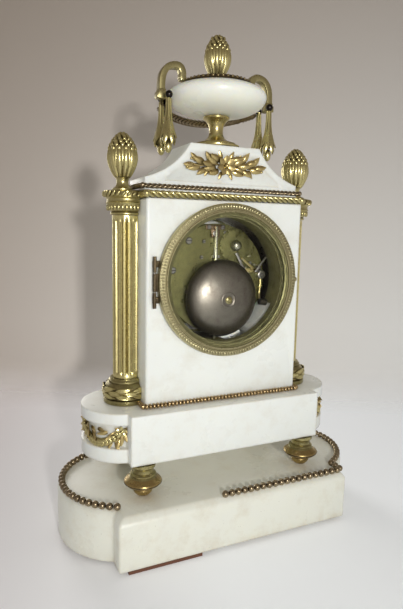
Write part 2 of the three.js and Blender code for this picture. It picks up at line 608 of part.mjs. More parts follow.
// Doors: a fixed ring on the case, and a hinged rim with its glass
function door(name, side, ringDepth, rimDepth, tube) {
  const face = CASE.halfD + GAP;
  const seam = face + ringDepth;
  const rimLow = seam + GAP;
  const rimHigh = rimLow + rimDepth;
  const axisY = rimLow + HINGE.r;
  const mirror = (geometry) => (side > 0 ? geometry : flipY(geometry));
  const seatR = RING.innerR + RING.rebate;
  const sleeveR = CASE.boreR - GAP;
  const lip = face + RING.lip;
  const profile = [[RING.innerR, face - tube], [sleeveR, face - tube], [sleeveR, face], [RING.outerR, face],
    [RING.outerR, seam], [seatR, seam], [seatR, lip], [RING.innerR, lip], [RING.innerR, face - tube]];
  const ring = turnedY(profile, 32).translate(0, 0, DIAL_Z);
  const [low, mid] = [HINGE.half, HINGE.knuckle];
  const fixed = [[0, -low], [HINGE.r, -low], [HINGE.r, -mid], [HINGE.pinR, -mid], [HINGE.pinR, mid],
    [HINGE.r, mid], [HINGE.r, low], [0, low]];
  const pin = turnedZ(fixed, 12).translate(HINGE.x, axisY, DIAL_Z);
  const leaves = [[-low, -mid], [mid, low]].map(([z0, z1]) =>
    box(RING.outerR - 5, HINGE.x, face, seam, DIAL_Z + z0, DIAL_Z + z1));
  const posts = [[-low, -mid], [mid, low]].map(([z0, z1]) =>
    box(HINGE.x - 1, HINGE.x + 1, face, axisY, DIAL_Z + z0, DIAL_Z + z1));
  addPiece(`${name}_bezel`, mirror(join(ring, pin, ...leaves, ...posts)), GILT);

  const glassLow = rimLow + rimDepth * 0.42;
  const glassHigh = glassLow + DOOR.glass + 2 * GAP;
  const R = DOOR.outerR;
  const rimProfile = [[seatR, rimLow], [R - 0.8, rimLow], [R, rimLow + 1], [R - 0.6, rimHigh - 1.4],
    [R - 2.6, rimHigh], [R - 5, rimHigh - 0.6], [DOOR.openR, glassHigh + 0.5], [DOOR.openR, glassHigh],
    [DOOR.glassSeatR + GAP, glassHigh], [DOOR.glassSeatR + GAP, glassLow], [seatR, glassLow],
    [seatR, rimLow]];
  const rim = turnedY(rimProfile, 32).translate(0, 0, DIAL_Z);
  const eye = HINGE.pinR + RUN;
  const end = mid - GAP;
  const knuckle = [[eye, -end], [HINGE.r, -end], [HINGE.r, end], [eye, end], [eye, -end]];
  const tubeKnuckle = turnedZ(knuckle, 12).translate(HINGE.x, axisY, DIAL_Z);
  const pinRoom = turnedZ([[0, -mid], [HINGE.r - GAP, -mid], [HINGE.r - GAP, mid], [0, mid]], 12);
  const leafBar = box(R - 2, HINGE.x, axisY - HINGE.pinR, axisY + HINGE.pinR, DIAL_Z - end, DIAL_Z + end);
  const leaf = cut(leafBar, pinRoom.translate(HINGE.x, axisY, DIAL_Z));
  const catchKnob = box(-R - 1.6, -R + 1.5, rimLow + 0.6, rimLow + 2.6, DIAL_Z - 2, DIAL_Z + 2);
  addPiece(`${name}_door_rim`, mirror(join(rim, tubeKnuckle, leaf, catchKnob)), GILT);
  const [paneLow, paneHigh] = [glassLow + GAP, glassHigh - GAP];
  const pane = [[0, paneLow], [DOOR.glassSeatR, paneLow], [DOOR.glassSeatR, paneHigh], [0, paneHigh]];
  const glass = turnedY(pane, 28);
  addPiece(`${name}_door_glass`, mirror(glass.translate(0, 0, DIAL_Z)), GLASS);
}

function flipY(geometry) {
  const flipped = geometry.clone().applyMatrix4(new THREE.Matrix4().makeScale(1, -1, 1));
  const index = flipped.index.array;
  for (let i = 0; i < index.length; i += 3) {
    [index[i + 1], index[i + 2]] = [index[i + 2], index[i + 1]];
  }
  return flipped;
}

// Gears: straight-sided teeth with backlash, phase in tooth pitches
function gearShape(teeth, module, phase, boreR = 0) {
  const r = teeth * module / 2;
  const tip = r + module * 0.62;
  const root = r - module * 0.95;
  const pitch = 2 * Math.PI / teeth;
  const points = steps(teeth * 4, (i) => {
    const tooth = Math.floor(i / 4) + phase;
    const [share, radius] = [[-0.27, root], [-0.13, tip], [0.13, tip], [0.27, root]][i % 4];
    const angle = (tooth + share) * pitch;
    return [radius * Math.cos(angle), radius * Math.sin(angle)];
  });
  const shape = polygon(points);
  if (boreR > 0) {
    circleHole(shape, 0, 0, boreR);
  }
  return shape;
}

const pitchSum = (a, b, module) => (a + b) * module / 2 + GAP / 3;

// Where the arbors stand, in X and Z from the dial's centre
function arborPlan() {
  const polar = (from, reach, bearing) =>
    [from[0] + reach * Math.cos(rad(bearing)), from[1] + reach * Math.sin(rad(bearing))];
  const centre = [0, 0];
  const barrelReach = pitchSum(BARREL.teeth, CENTRE.leaves, BARREL.module);
  const barrelBearing = Math.atan2(BARREL.drop, BARREL.x) * 180 / Math.PI;
  const going = polar(centre, barrelReach, -barrelBearing);
  const strike = polar(centre, barrelReach, 180 + barrelBearing);
  const third = polar(centre, pitchSum(CENTRE.teeth, THIRD.leaves, CENTRE.module), THIRD.bearing);
  const escape = polar(third, pitchSum(THIRD.teeth, THIRD.leaves, THIRD.module), ESCAPE.bearing);
  const second = polar(strike, pitchSum(BARREL.teeth, STRIKE.leaves, BARREL.module), STRIKE.bearing);
  const reach = pitchSum(STRIKE.teeth, STRIKE.countTeeth, STRIKE.module);
  const aim = Math.atan2(STRIKE.countRise - second[1], STRIKE.countX - second[0]) * 180 / Math.PI;
  const count = polar(second, reach, aim);
  const pallets = [escape[0], escape[1] + PALLET_RISE];
  return { centre, going, strike, third, escape, second, count, pallets };
}

const AT = arborPlan();
const PENDULUM_TOP = AT.pallets[1] + PENDULUM.rise;
const BOB_CENTRE = Z_CASE + PENDULUM.lift + PENDULUM.tail + PENDULUM.bobR - DIAL_Z;

// Phase that puts a gap of the driven gear opposite a tooth of the driver
function meshPhase(from, to, driverTeeth, driverPhase, drivenTeeth) {
  const bearing = Math.atan2(to[1] - from[1], to[0] - from[0]) / (2 * Math.PI);
  const toothAtMesh = bearing * driverTeeth - driverPhase;
  const behind = (bearing + 0.5) * drivenTeeth;
  return behind + toothAtMesh + 0.5;
}

const PHASE = {};
PHASE.centreLeaves = meshPhase(AT.going, AT.centre, BARREL.teeth, 0, CENTRE.leaves);
PHASE.thirdLeaves = meshPhase(AT.centre, AT.third, CENTRE.teeth, 0, THIRD.leaves);
PHASE.escapeLeaves = meshPhase(AT.third, AT.escape, THIRD.teeth, 0, THIRD.leaves);
PHASE.secondLeaves = meshPhase(AT.strike, AT.second, BARREL.teeth, 0, STRIKE.leaves);
PHASE.countTeeth = meshPhase(AT.second, AT.count, STRIKE.teeth, 0, STRIKE.countTeeth);

// Levels along Y between the plates, from the front plate backwards
const INSIDE = FRONT_PLATE_Y + GAP;
const CENTRE_WHEEL_Y = INSIDE + 0.8;
const STRIKE_WHEEL_Y = CENTRE_WHEEL_Y + WHEEL + 1;
const DRUM_Y = STRIKE_WHEEL_Y + BARREL.wheel + GAP;
const GOING_WHEEL_Y = DRUM_Y + BARREL.depth + GAP;
const THIRD_WHEEL_Y = DRUM_Y + BARREL.depth * 0.35;
const ESCAPE_WHEEL_Y = DRUM_Y + BARREL.depth * 0.8;
const BACK_PLATE_Y = PLATE.backY;

const toothed = (teeth, module, phase, y, thick, boreR) =>
  plateY(gearShape(teeth, module, phase, boreR), y, thick);
const seatArbor = (geometry, at) => geometry.translate(at[0], 0, at[1] + DIAL_Z);

function plates() {
  const ring = PILLAR.bearings.map((b) => [PILLAR.ring * Math.cos(rad(b)), PILLAR.ring * Math.sin(rad(b))]);
  const pillars = ring.map(([x, z]) => rodY(PILLAR.r, x, z, FRONT_PLATE_Y - 0.5, BACK_PLATE_Y - GAP, 8));
  const front = disc(PLATE.r, 32);
  circleHole(front, ...AT.centre, CENTRE.arborR + RUN);
  for (const at of [AT.going, AT.strike]) {
    circleHole(front, ...at, WINDING_R + RUN);
  }
  const frontPlate = plateY(front, FRONT_PLATE_Y - PLATE.thick, PLATE.thick);
  addPiece('front_plate', join(frontPlate, ...pillars).translate(0, 0, DIAL_Z), DULL_BRASS);

  const back = disc(PLATE.r, 32);
  circleHole(back, ...AT.pallets, ARBOR_R + RUN);
  circleHole(back, ...AT.count, ARBOR_R + RUN);
  const backPlate = plateY(back, BACK_PLATE_Y, PLATE.thick);
  const behind = BACK_PLATE_Y + PLATE.thick;
  const bellTop = BELL.rimY + BELL.depth;
  const post = rodY(BELL.postR, BELL.x, -BELL.drop, behind - 0.5, bellTop - BELL.wall - GAP, 10);
  const screw = rodY(BELL.postR * 0.5, BELL.x, -BELL.drop, behind, bellTop + 1.6, 8);
  const hammerPost = rodY(ARBOR_R, HAMMER.x, HAMMER.rise, behind - 0.5, behind + HAMMER.eye + 2 * GAP, 8);
  addPiece('back_plate', join(backPlate, post, screw, hammerPost).translate(0, 0, DIAL_Z), DULL_BRASS);
}

function barrels() {
  const trainsAt = [['going', AT.going, GOING_WHEEL_Y], ['strike', AT.strike, STRIKE_WHEEL_Y]];
  for (const [name, at, wheelY] of trainsAt) {
    const bore = WINDING_R + RUN;
    const drum = disc(BARREL.r, 24);
    circleHole(drum, 0, 0, bore);
    const wheel = toothed(BARREL.teeth, BARREL.module, 0, wheelY, BARREL.wheel, bore);
    const low = Math.min(DRUM_Y, wheelY + 1);
    const high = Math.max(DRUM_Y + BARREL.depth, wheelY + 1);
    addPiece(`${name}_barrel`, seatArbor(join(plateY(drum, low, high - low), wheel), at), DULL_BRASS);
    const dialFace = DIAL_BACK_Y - DIAL.thick;
    const square = WINDING_R * 0.8;
    const plateFace = FRONT_PLATE_Y - PLATE.thick;
    const arbor = turnedY([[0, dialFace + GAP], [square, dialFace + GAP], [square, plateFace - 1],
      [WINDING_R, plateFace - 0.8], [WINDING_R, BACK_PLATE_Y - GAP], [0, BACK_PLATE_Y - GAP]], 8);
    addPiece(`${name}_winding_arbor`, seatArbor(arbor, at), STEEL);
  }
}

// Dial and hands: the dial stands on feet in front of the front plate
const DIAL_BACK_Y = -CASE.halfD - GAP - 1.6;

function trains() {
  const back = BACK_PLATE_Y - GAP;
  const minuteY = DIAL_BACK_Y - DIAL.thick - HANDS.gap * 2 - HANDS.thick * 2;
  const centreArbor = rodY(CENTRE.arborR, 0, 0, minuteY - 1.2, back, 10);
  const centre = join(centreArbor,
    toothed(CENTRE.teeth, CENTRE.module, 0, CENTRE_WHEEL_Y, WHEEL),
    toothed(CENTRE.leaves, BARREL.module, PHASE.centreLeaves, GOING_WHEEL_Y - 0.2, BARREL.wheel + 0.4));
  addPiece('centre_wheel', seatArbor(centre, AT.centre), DULL_BRASS);

  const arbor = (from = INSIDE, to = back) => rodY(ARBOR_R, 0, 0, from, to, 8);
  const third = join(arbor(),
    toothed(THIRD.leaves, CENTRE.module, PHASE.thirdLeaves, CENTRE_WHEEL_Y - 0.2, WHEEL + 0.4),
    toothed(THIRD.teeth, THIRD.module, 0, THIRD_WHEEL_Y, WHEEL));
  addPiece('third_wheel', seatArbor(third, AT.third), DULL_BRASS);

  const escape = join(arbor(),
    toothed(THIRD.leaves, THIRD.module, PHASE.escapeLeaves, THIRD_WHEEL_Y - 0.2, WHEEL + 0.4),
    plateY(escapeShape(), ESCAPE_WHEEL_Y, 1));
  addPiece('escape_wheel', seatArbor(escape, AT.escape), DULL_BRASS);

  const second = join(arbor(),
    toothed(STRIKE.leaves, BARREL.module, PHASE.secondLeaves, STRIKE_WHEEL_Y - 0.2, BARREL.wheel + 0.4),
    toothed(STRIKE.teeth, STRIKE.module, 0, GOING_WHEEL_Y, WHEEL));
  addPiece('strike_second_wheel', seatArbor(second, AT.second), DULL_BRASS);

  const behind = BACK_PLATE_Y + PLATE.thick + GAP;
  const count = join(arbor(INSIDE, behind + COUNT_WHEEL.thick + 3),
    toothed(STRIKE.countTeeth, STRIKE.module, PHASE.countTeeth, GOING_WHEEL_Y, WHEEL),
    plateY(countShape(), behind, COUNT_WHEEL.thick),
    rodY(COUNT_WHEEL.boss, 0, 0, behind + 0.5, behind + COUNT_WHEEL.thick + 2.2, 12));
  addPiece('count_wheel', seatArbor(count, AT.count), DULL_BRASS);
}

function escapeShape() {
  return polygon(steps(ESCAPE.teeth * 3, (i) => {
    const [share, radius] = [[0, ESCAPE.r], [0.18, ESCAPE.r - 2], [0.8, ESCAPE.r - 2]][i % 3];
    const angle = 2 * Math.PI * (Math.floor(i / 3) + share) / ESCAPE.teeth;
    return [radius * Math.cos(angle), radius * Math.sin(angle)];
  }));
}

function countShape() {
  return polygon(steps(COUNT_WHEEL.notches * 4, (i) => {
    const [share, radius] = [[0.05, -1.4], [0.1, 0], [0.9, 0], [0.95, -1.4]][i % 4];
    const angle = 2 * Math.PI * (Math.floor(i / 4) + share) / COUNT_WHEEL.notches;
    return [(COUNT_WHEEL.r + radius) * Math.cos(angle), (COUNT_WHEEL.r + radius) * Math.sin(angle)];
  }));
}

// Pallets straddle the escape wheel, clear of its teeth; their crutch swings behind the back plate
function escapement() {
  const behind = BACK_PLATE_Y + PLATE.thick;
  const clear = 1.2;
  const span = ESCAPE.r + clear;
  const foot = -PALLET_RISE + 2;
  const arch = -PALLET_RISE + span + 0.6;
  const claw = span + 1.6;
  const right = [[claw, foot + 3], [claw, foot], [span, foot], [span, foot + 2.4], [1, arch]];
  const left = right.map(([x, z]) => [-x, z]).reverse();
  const anchor = polygon([[-2, 1.8], [2, 1.8], ...right, ...left]);
  const crutchLow = -PENDULUM.rise - CRUTCH.drop;
  const crutchTop = crutchLow + CRUTCH.fork;
  const forkY = behind + GAP;
  const forkBack = forkY + CRUTCH.thick;
  const crutch = box(-CRUTCH.halfW, CRUTCH.halfW, forkY, forkBack, crutchLow, 0);
  const tineOut = PENDULUM.rodR + CRUTCH.fork;
  const fork = box(-tineOut, tineOut, forkY, forkBack, crutchLow, crutchTop);
  const tines = [-tineOut, tineOut - CRUTCH.thick].map((x) =>
    box(x, x + CRUTCH.thick, forkY, PENDULUM.y + PENDULUM.rodR, crutchLow, crutchTop));
  const hub = rodY(ARBOR_R * 1.8, 0, 0, forkY, forkBack + 0.4, 10);
  const arbor = rodY(ARBOR_R, 0, 0, INSIDE, forkBack, 8);
  const pallets = join(arbor, plateY(anchor, ESCAPE_WHEEL_Y - 0.2, 1.4), crutch, fork, ...tines, hub);
  addPiece('pallets', seatArbor(pallets, AT.pallets), STEEL);

  const hang = PENDULUM_TOP;
  const blockLow = hang - SUSPENSION.drop;
  const blockTop = hang + SUSPENSION.rise;
  const rodFace = PENDULUM.y - PENDULUM.rodR - GAP;
  const { halfW, tongueHalfW } = SUSPENSION;
  const cock = join(
    box(-halfW, halfW, behind + GAP, rodFace - 0.5, blockLow, blockTop),
    box(-tongueHalfW, tongueHalfW, rodFace - 0.9, rodFace, blockLow, blockTop));
  addPiece('suspension_block', seatArbor(cock, [AT.pallets[0], 0]), DULL_BRASS);

  const p = PENDULUM;
  const low = BOB_CENTRE;
  const rod = box(-p.rodR, p.rodR, p.y - p.rodR, p.y + p.rodR, low - p.bobR - p.tail, hang + 1);
  const bob = turnedY([[0, p.y - p.bobThick / 2], [p.bobR * 0.7, p.y - p.bobThick / 2 + 1], [p.bobR, p.y],
    [p.bobR * 0.7, p.y + p.bobThick / 2 - 1], [0, p.y + p.bobThick / 2]], 20).translate(0, 0, low);
  addPiece('pendulum', seatArbor(join(rod, bob), [AT.pallets[0], 0]), DULL_BRASS);
}

function bellAndHammer() {
  const b = BELL;
  const arc = (r, depth, y, from, to) => steps(5, (i) => {
    const a = rad(from + (to - from) * i / 4);
    return [r * Math.cos(a), y + depth * Math.sin(a)];
  });
  const hole = b.postR * 0.5 + RUN;
  const top = Math.acos(hole / b.r) * 180 / Math.PI;
  const outside = arc(b.r, b.depth, b.rimY, 0, top);
  const inside = arc(b.r - b.wall, b.depth - b.wall, b.rimY, top, 0);
  const profile = [...outside, ...inside];
  addPiece('bell', turnedY([...profile, profile[0]], 24).translate(b.x, 0, DIAL_Z - b.drop), BELL_METAL);

  const behind = BACK_PLATE_Y + PLATE.thick + GAP;
  const headY = b.rimY + HAMMER_HEAD.r;
  const wire = box(-HAMMER.wireR, HAMMER.wireR, behind + 1, behind + 2.6, -HAMMER.reach, -1);
  const wr = HAMMER.wireR;
  const stem = box(-wr, wr, behind + 1, headY, -HAMMER.reach - wr, -HAMMER.reach + wr);
  const bore = ARBOR_R + RUN;
  const eyeHigh = behind + HAMMER.eye - GAP;
  const r = HAMMER.eyeR;
  const eye = turnedY([[bore, behind], [r, behind], [r, eyeHigh], [bore, eyeHigh], [bore, behind]], 12);
  const half = HAMMER_HEAD.length / 2;
  const head = turnedY([[0, -half], [HAMMER_HEAD.r, -half], [HAMMER_HEAD.r, half], [0, half]], 10)
    .rotateZ(Math.PI / 2).translate(half - HAMMER_HEAD.back, headY, -HAMMER.reach);
  const boreRoom = rodY(bore, 0, 0, behind - 1, eyeHigh + 1, 12);
  addPiece('hammer', seatArbor(cut(join(wire, stem, eye, head), boreRoom), [HAMMER.x, HAMMER.rise]), STEEL);
}

function dialAndHands() {
  const back = DIAL_BACK_Y;
  const front = back - DIAL.thick;
  const shape = disc(DIAL.r, 36);
  circleHole(shape, 0, 0, DIAL.hole);
  for (const at of [AT.going, AT.strike]) {
    circleHole(shape, ...at, DIAL.hole);
  }
  const plateFace = FRONT_PLATE_Y - PLATE.thick - GAP;
  const footRing = PLATE.r * 0.82;
  const dialFeet = [30, 150, 270].map((bearing) => {
    const x = footRing * Math.cos(rad(bearing));
    const z = footRing * Math.sin(rad(bearing));
    return rodY(DIAL.thick, x, z, front + 0.5, plateFace, 8);
  });
  addPiece('dial', join(plateY(shape, front, DIAL.thick), ...dialFeet).translate(0, 0, DIAL_Z), ENAMEL);

  const hourY = front - HANDS.gap - HANDS.thick;
  const minuteY = hourY - HANDS.gap - HANDS.thick;
  const hour = handShape(HANDS.hour, 4.4, 2.6);
  const bore = CENTRE.arborR + RUN;
  const pipeR = DIAL.hole - 0.7;
  const pipeY = hourY + 0.2;
  circleHole(hour, 0, 0, bore);
  const tube = [[bore, pipeY], [pipeR, pipeY], [pipeR, plateFace], [bore, plateFace], [bore, pipeY]];
  const pipe = turnedY(tube, 10);
  const hourHand = cut(join(plateY(hour, hourY, HANDS.thick), pipe), rodY(bore, 0, 0, hourY - 1, 0, 10));
  addPiece('hour_hand', hourHand.rotateY(rad(-60)).translate(0, 0, DIAL_Z), STEEL);
  const minute = handShape(HANDS.minute, 3.4, 2.4);
  circleHole(minute, 0, 0, bore);
  const minuteHand = plateY(minute, minuteY, HANDS.thick);
  addPiece('minute_hand', minuteHand.rotateY(rad(60)).translate(0, 0, DIAL_Z), STEEL);
}

// A hand with a round hub, a swelling and a point
function handShape(length, swell, hub) {
  const round = steps(12, (i) => {
    const angle = rad(110 + 320 * i / 11);
    return [hub * Math.cos(angle), hub * Math.sin(angle)];
  });
  const left = [[0, length], [-0.7, length * 0.78], [-swell / 2, length * 0.66], [-0.8, length * 0.55]];
  const right = left.slice(1).map(([x, y]) => [-x, y]).reverse();
  return polygon([...left, ...round, ...right]);
}

baseBoard();
lowerPlinth();
lowerBeading();
feet();
upperPlinth();
friezeGarland('frieze_garland_left', UPPER.lobeX);
friezeGarland('frieze_garland_right', -UPPER.lobeX);
caseBlock();
caseBeading('case_beading_rear', 1);
caseBeading('case_beading_front', -1);
columns();
pediment();
urn();
handles();
door('rear', 1, RING.flange, REAR_RIM, RING.tube);
door('front', -1, FRONT_RING, FRONT_RIM, RING.frontTube);
plates();
barrels();
trains();
escapement();
bellAndHammer();
dialAndHands();

export default clock;
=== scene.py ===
"""Marble mantel clock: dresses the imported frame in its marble, gilt mounts, doors and movement."""
import json
import math

import bpy
from mathutils import Matrix, Vector

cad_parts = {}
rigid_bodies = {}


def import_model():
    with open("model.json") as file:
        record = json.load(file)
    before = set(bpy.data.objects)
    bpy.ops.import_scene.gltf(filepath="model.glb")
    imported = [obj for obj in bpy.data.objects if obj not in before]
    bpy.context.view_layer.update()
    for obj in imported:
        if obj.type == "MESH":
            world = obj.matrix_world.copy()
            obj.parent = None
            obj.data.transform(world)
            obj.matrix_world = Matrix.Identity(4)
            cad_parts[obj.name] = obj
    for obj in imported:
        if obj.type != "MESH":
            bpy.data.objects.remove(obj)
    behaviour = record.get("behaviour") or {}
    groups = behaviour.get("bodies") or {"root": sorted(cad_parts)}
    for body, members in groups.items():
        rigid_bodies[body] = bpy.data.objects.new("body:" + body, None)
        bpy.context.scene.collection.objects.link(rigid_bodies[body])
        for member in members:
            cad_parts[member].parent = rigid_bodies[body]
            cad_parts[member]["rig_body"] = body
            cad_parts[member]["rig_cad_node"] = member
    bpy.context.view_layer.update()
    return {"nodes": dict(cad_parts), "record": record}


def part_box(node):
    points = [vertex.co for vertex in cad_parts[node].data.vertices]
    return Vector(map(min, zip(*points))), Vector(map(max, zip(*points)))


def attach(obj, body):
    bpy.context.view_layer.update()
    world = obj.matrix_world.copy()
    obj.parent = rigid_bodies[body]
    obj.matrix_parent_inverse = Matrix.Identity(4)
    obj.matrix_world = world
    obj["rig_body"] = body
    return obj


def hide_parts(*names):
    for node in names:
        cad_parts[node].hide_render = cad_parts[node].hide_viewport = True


bl_info = {
    "name": "Marble mantel clock",
    "version": (1, 0, 0),
    "blender": (4, 5, 0),
    "location": "View3D > Sidebar > Clock",
    "description": "Models the marble, mounts, doors and movement of a mantel clock on its packed frame",
    "category": "Object",
}

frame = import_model()
MM = 0.001
CASE = "clock_case"

# What every colour property has in common
COLOUR = {"subtype": "COLOR", "size": 3, "min": 0, "max": 1}


class ClockColours(bpy.types.PropertyGroup):
    """Colours of the finishes"""
    marble: bpy.props.FloatVectorProperty(
        name="Marble", description="Body colour of the white marble", default=(0.785, 0.81, 0.775), **COLOUR)
    marble_stain: bpy.props.FloatVectorProperty(
        name="Marble stain", description="Beige of the old stains", default=(0.50, 0.41, 0.27), **COLOUR)
    gilt: bpy.props.FloatVectorProperty(
        name="Gilt", description="Clean gilding on the high points", default=(0.60, 0.53, 0.25), **COLOUR)
    tarnish: bpy.props.FloatVectorProperty(
        name="Tarnish", description="Dark brown in the hollows of the castings",
        default=(0.085, 0.058, 0.02), **COLOUR)
    brass: bpy.props.FloatVectorProperty(
        name="Olive brass", description="Dull brass of the urn's handles",
        default=(0.44, 0.39, 0.19), **COLOUR)
    bell: bpy.props.FloatVectorProperty(
        name="Bell metal", description="Grey-brown of the bell", default=(0.21, 0.19, 0.16), **COLOUR)
    backdrop: bpy.props.FloatVectorProperty(
        name="Backdrop", description="Pale warm grey of the background",
        default=(0.58, 0.55, 0.525), **COLOUR)


class ClockSizes(bpy.types.PropertyGroup):
    """Sizes of the small repeated ornament, in millimetres"""
    edge_round: bpy.props.FloatProperty(
        name="Edge round", description="Rounding of the marble's edges", default=1.3, min=0.1, max=1.5)
    base_bead: bpy.props.FloatProperty(
        name="Base bead", description="Diameter of the beads on the lower plinth", default=4.5, min=2, max=8)
    case_bead: bpy.props.FloatProperty(
        name="Case bead", description="Diameter of the beads round the case's foot",
        default=3.3, min=2, max=6)
    cornice_pitch: bpy.props.FloatProperty(
        name="Cornice strand", description="Distance between the lower rope's strands",
        default=4.0, min=2, max=8)
    pediment_pitch: bpy.props.FloatProperty(
        name="Pediment strand", description="Distance between the upper rope's strands",
        default=3.0, min=2, max=8)
    flutes: bpy.props.IntProperty(
        name="Flutes", description="Flutes round each column", default=16, min=8, max=24)


def sizes():
    return bpy.context.scene.clock_sizes


def colours():
    return bpy.context.scene.clock_colours


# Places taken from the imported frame, in millimetres
def node_box(name):
    low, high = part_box(name)
    return low / MM, high / MM


def middle(name):
    low, high = node_box(name)
    return (low + high) / 2


DIAL_Z = middle("rear_door_glass").z

# The doors' hinge line, and from the dial's middle the hammer's post, the count wheel and the winding holes
HINGE_X = 50.9
HAMMER_X, HAMMER_UP = -33.2, 2
COUNT_AT = (-12.996, 21.917)
WINDING_HOLES = ((14.582, -10.587), (-14.582, -10.587))

# Clearance between a mount and the marble that carries it
MOUNT_GAP = 0.3


# Work with the selection
def deselect():
    if bpy.context.object and bpy.context.object.mode != "OBJECT":
        bpy.ops.object.mode_set(mode="OBJECT")
    bpy.ops.object.select_all(action="DESELECT")


def make_active(piece):
    deselect()
    piece.select_set(True)
    bpy.context.view_layer.objects.active = piece


def named(name):
    piece = bpy.context.object
    piece.name = name
    piece.data.name = name
    return piece


def apply_modifier(piece, kind, **settings):
    make_active(piece)
    modifier = piece.modifiers.new(kind.title(), kind)
    for key, value in settings.items():
        setattr(modifier, key, value)
    bpy.ops.object.modifier_apply(modifier=modifier.name)


def smooth(piece, degrees=40):
    make_active(piece)
    bpy.ops.object.shade_smooth_by_angle(angle=math.radians(degrees))
    return piece


def joined(name, pieces):
    deselect()
    for piece in pieces:
        piece.select_set(True)
    bpy.context.view_layer.objects.active = pieces[0]
    if len(pieces) > 1:
        bpy.ops.object.join()
    return named(name)


def twin(piece, name, change):
    """A copy with its own mesh, put in its place."""
    copy = piece.copy()
    copy.data = piece.data.copy()
    copy.name = name
    copy.data.name = name
    copy.data.transform(change)
    bpy.context.collection.objects.link(copy)
    return copy


def copies(name, pattern, places):
    """Copies a modelled shape to each place and joins the copies."""
    made = [twin(pattern, pattern.name, place) for place in places]
    bpy.data.objects.remove(pattern)
    return joined(name, made)


def painted(piece, finish):
    piece.data.materials.append(FINISHES[finish])
    return piece


def assembled(name, *pairs):
    """Joins pieces that each have a finish of their own."""
    return joined(name, [painted(piece, finish) for piece, finish in pairs])


def dress(piece, node, body=CASE, finish=None):
    """Rides a finished piece on its body in place of a node; a finish named here is its only one."""
    if finish:
        piece.data.materials.clear()
        painted(piece, finish)
    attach(piece, body)
    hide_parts(node)


# Places and turns
def move(x, y, z):
    return Matrix.Translation(Vector((x, y, z)) * MM)


def turn(degrees, axis):
    return Matrix.Rotation(math.radians(degrees), 4, axis)


def size(x, y, z):
    return Matrix.Diagonal((x, y, z, 1))


def grown(share):
    return size(share, share, share)


def pointing(direction, axis, up):
    """A turn that brings an axis to a direction."""
    return direction.to_track_quat(axis, up).to_matrix().to_4x4()


def mounted(x, y, z, side=1):
    """The place of a turned piece whose axis runs along Y, to the rear or, for side -1, to the front."""
    return move(x, y, z) @ turn(-90 * side, "X")


def round_z(count, start=0.0):
    return [turn(start + 360 * i / count, "Z") for i in range(count)]


def facing(position, outward, spin=0.0, grow=1.0):
    """A place on a surface: X runs along it, Y up it and Z out of it."""
    out = Vector(outward).normalized()
    level = Vector((0, 0, 1)).cross(out).normalized()
    basis = Matrix((level, out.cross(level), out)).transposed().to_4x4()
    return move(*position) @ basis @ turn(spin, "Z") @ grown(grow)


# Shapes drawn in edit mode
CLOSE_MM = 0.002


def draw_line(name, points):
    """A run of edges through the points, drawn by extruding one vertex."""
    deselect()
    bpy.ops.mesh.primitive_plane_add(size=MM)
    piece = named(name)
    bpy.ops.object.mode_set(mode="EDIT")
    bpy.ops.mesh.select_all(action="SELECT")
    bpy.ops.mesh.merge(type="CENTER")
    here = Vector(points[0]) * MM
    bpy.ops.transform.translate(value=here)
    for point in points[1:]:
        there = Vector(point) * MM
        bpy.ops.mesh.extrude_region_move(TRANSFORM_OT_translate={"value": there - here})
        here = there
    return piece


def close_up():
    bpy.ops.mesh.select_all(action="SELECT")
    bpy.ops.mesh.remove_doubles(threshold=CLOSE_MM * MM)
    bpy.ops.mesh.normals_make_consistent(inside=False)
    bpy.ops.object.mode_set(mode="OBJECT")


def closed(piece, degrees=60):
    make_active(piece)
    bpy.ops.object.mode_set(mode="EDIT")
    close_up()
    return smooth(piece, degrees)


def turned(name, profile, sides=64, place=Matrix(), degrees=40, start=0, sweep=360):
    """A turned piece: radius and height pairs spun about Z, then put in place."""
    first = Vector((math.cos(math.radians(start)), math.sin(math.radians(start)), 0))
    piece = draw_line(name, [first * r + Vector((0, 0, z)) for r, z in profile])
    bpy.ops.mesh.select_all(action="SELECT")
    bpy.ops.mesh.spin(steps=sides, angle=math.radians(sweep), center=(0, 0, 0), axis=(0, 0, 1))
    close_up()
    piece.data.transform(place)
    return smooth(piece, degrees)


def arc_oval(r, z, radius_r, radius_z, start, end, count):
    """Points of a profile along part of an ellipse."""
    angles = [math.radians(start + (end - start) * i / count) for i in range(count + 1)]
    return [(r + radius_r * math.cos(a), z + radius_z * math.sin(a)) for a in angles]


def ball(name, across, rings=8, segments=12, stretch=(1, 1, 1)):
    deselect()
    bpy.ops.mesh.primitive_uv_sphere_add(segments=segments, ring_count=rings, radius=across / 2 * MM)
    piece = named(name)
    piece.data.transform(size(*stretch))
    return smooth(piece, 180)


def bar(name, low, high, round_mm=0.3):
    """A block between two corners with rounded edges."""
    deselect()
    low, high = Vector(low), Vector(high)
    bpy.ops.mesh.primitive_cube_add(size=MM)
    piece = named(name)
    piece.data.transform(move(*((low + high) / 2)) @ size(*(high - low)))
    apply_modifier(piece, "BEVEL", width=round_mm * MM, segments=2)
    return smooth(piece)


def rod(name, start, end, radius, sides=16):
    """A round rod between two points, its ends eased."""
    start = Vector(start)
    run = Vector(end) - start
    ease, eased_r = radius * 0.15, radius * 0.85
    profile = [(0, 0), (eased_r, 0), (radius, ease), (radius, run.length - ease), (eased_r, run.length),
               (0, run.length)]
    return turned(name, profile, sides, move(*start) @ pointing(run, "Z", "Y"))


def bent_sheet(name, columns, rows, thick, offset, place):
    """A thin sheet: place puts each point of a flat grid by its share across, -1 to 1, and along, 0 to 1."""
    deselect()
    bpy.ops.mesh.primitive_grid_add(x_subdivisions=columns, y_subdivisions=rows, size=1)
    piece = named(name)
    for vertex in piece.data.vertices:
        vertex.co = Vector(place(2 * vertex.co.x, vertex.co.y + 0.5)) * MM
    apply_modifier(piece, "SOLIDIFY", thickness=thick * MM, offset=offset)
    return closed(piece)


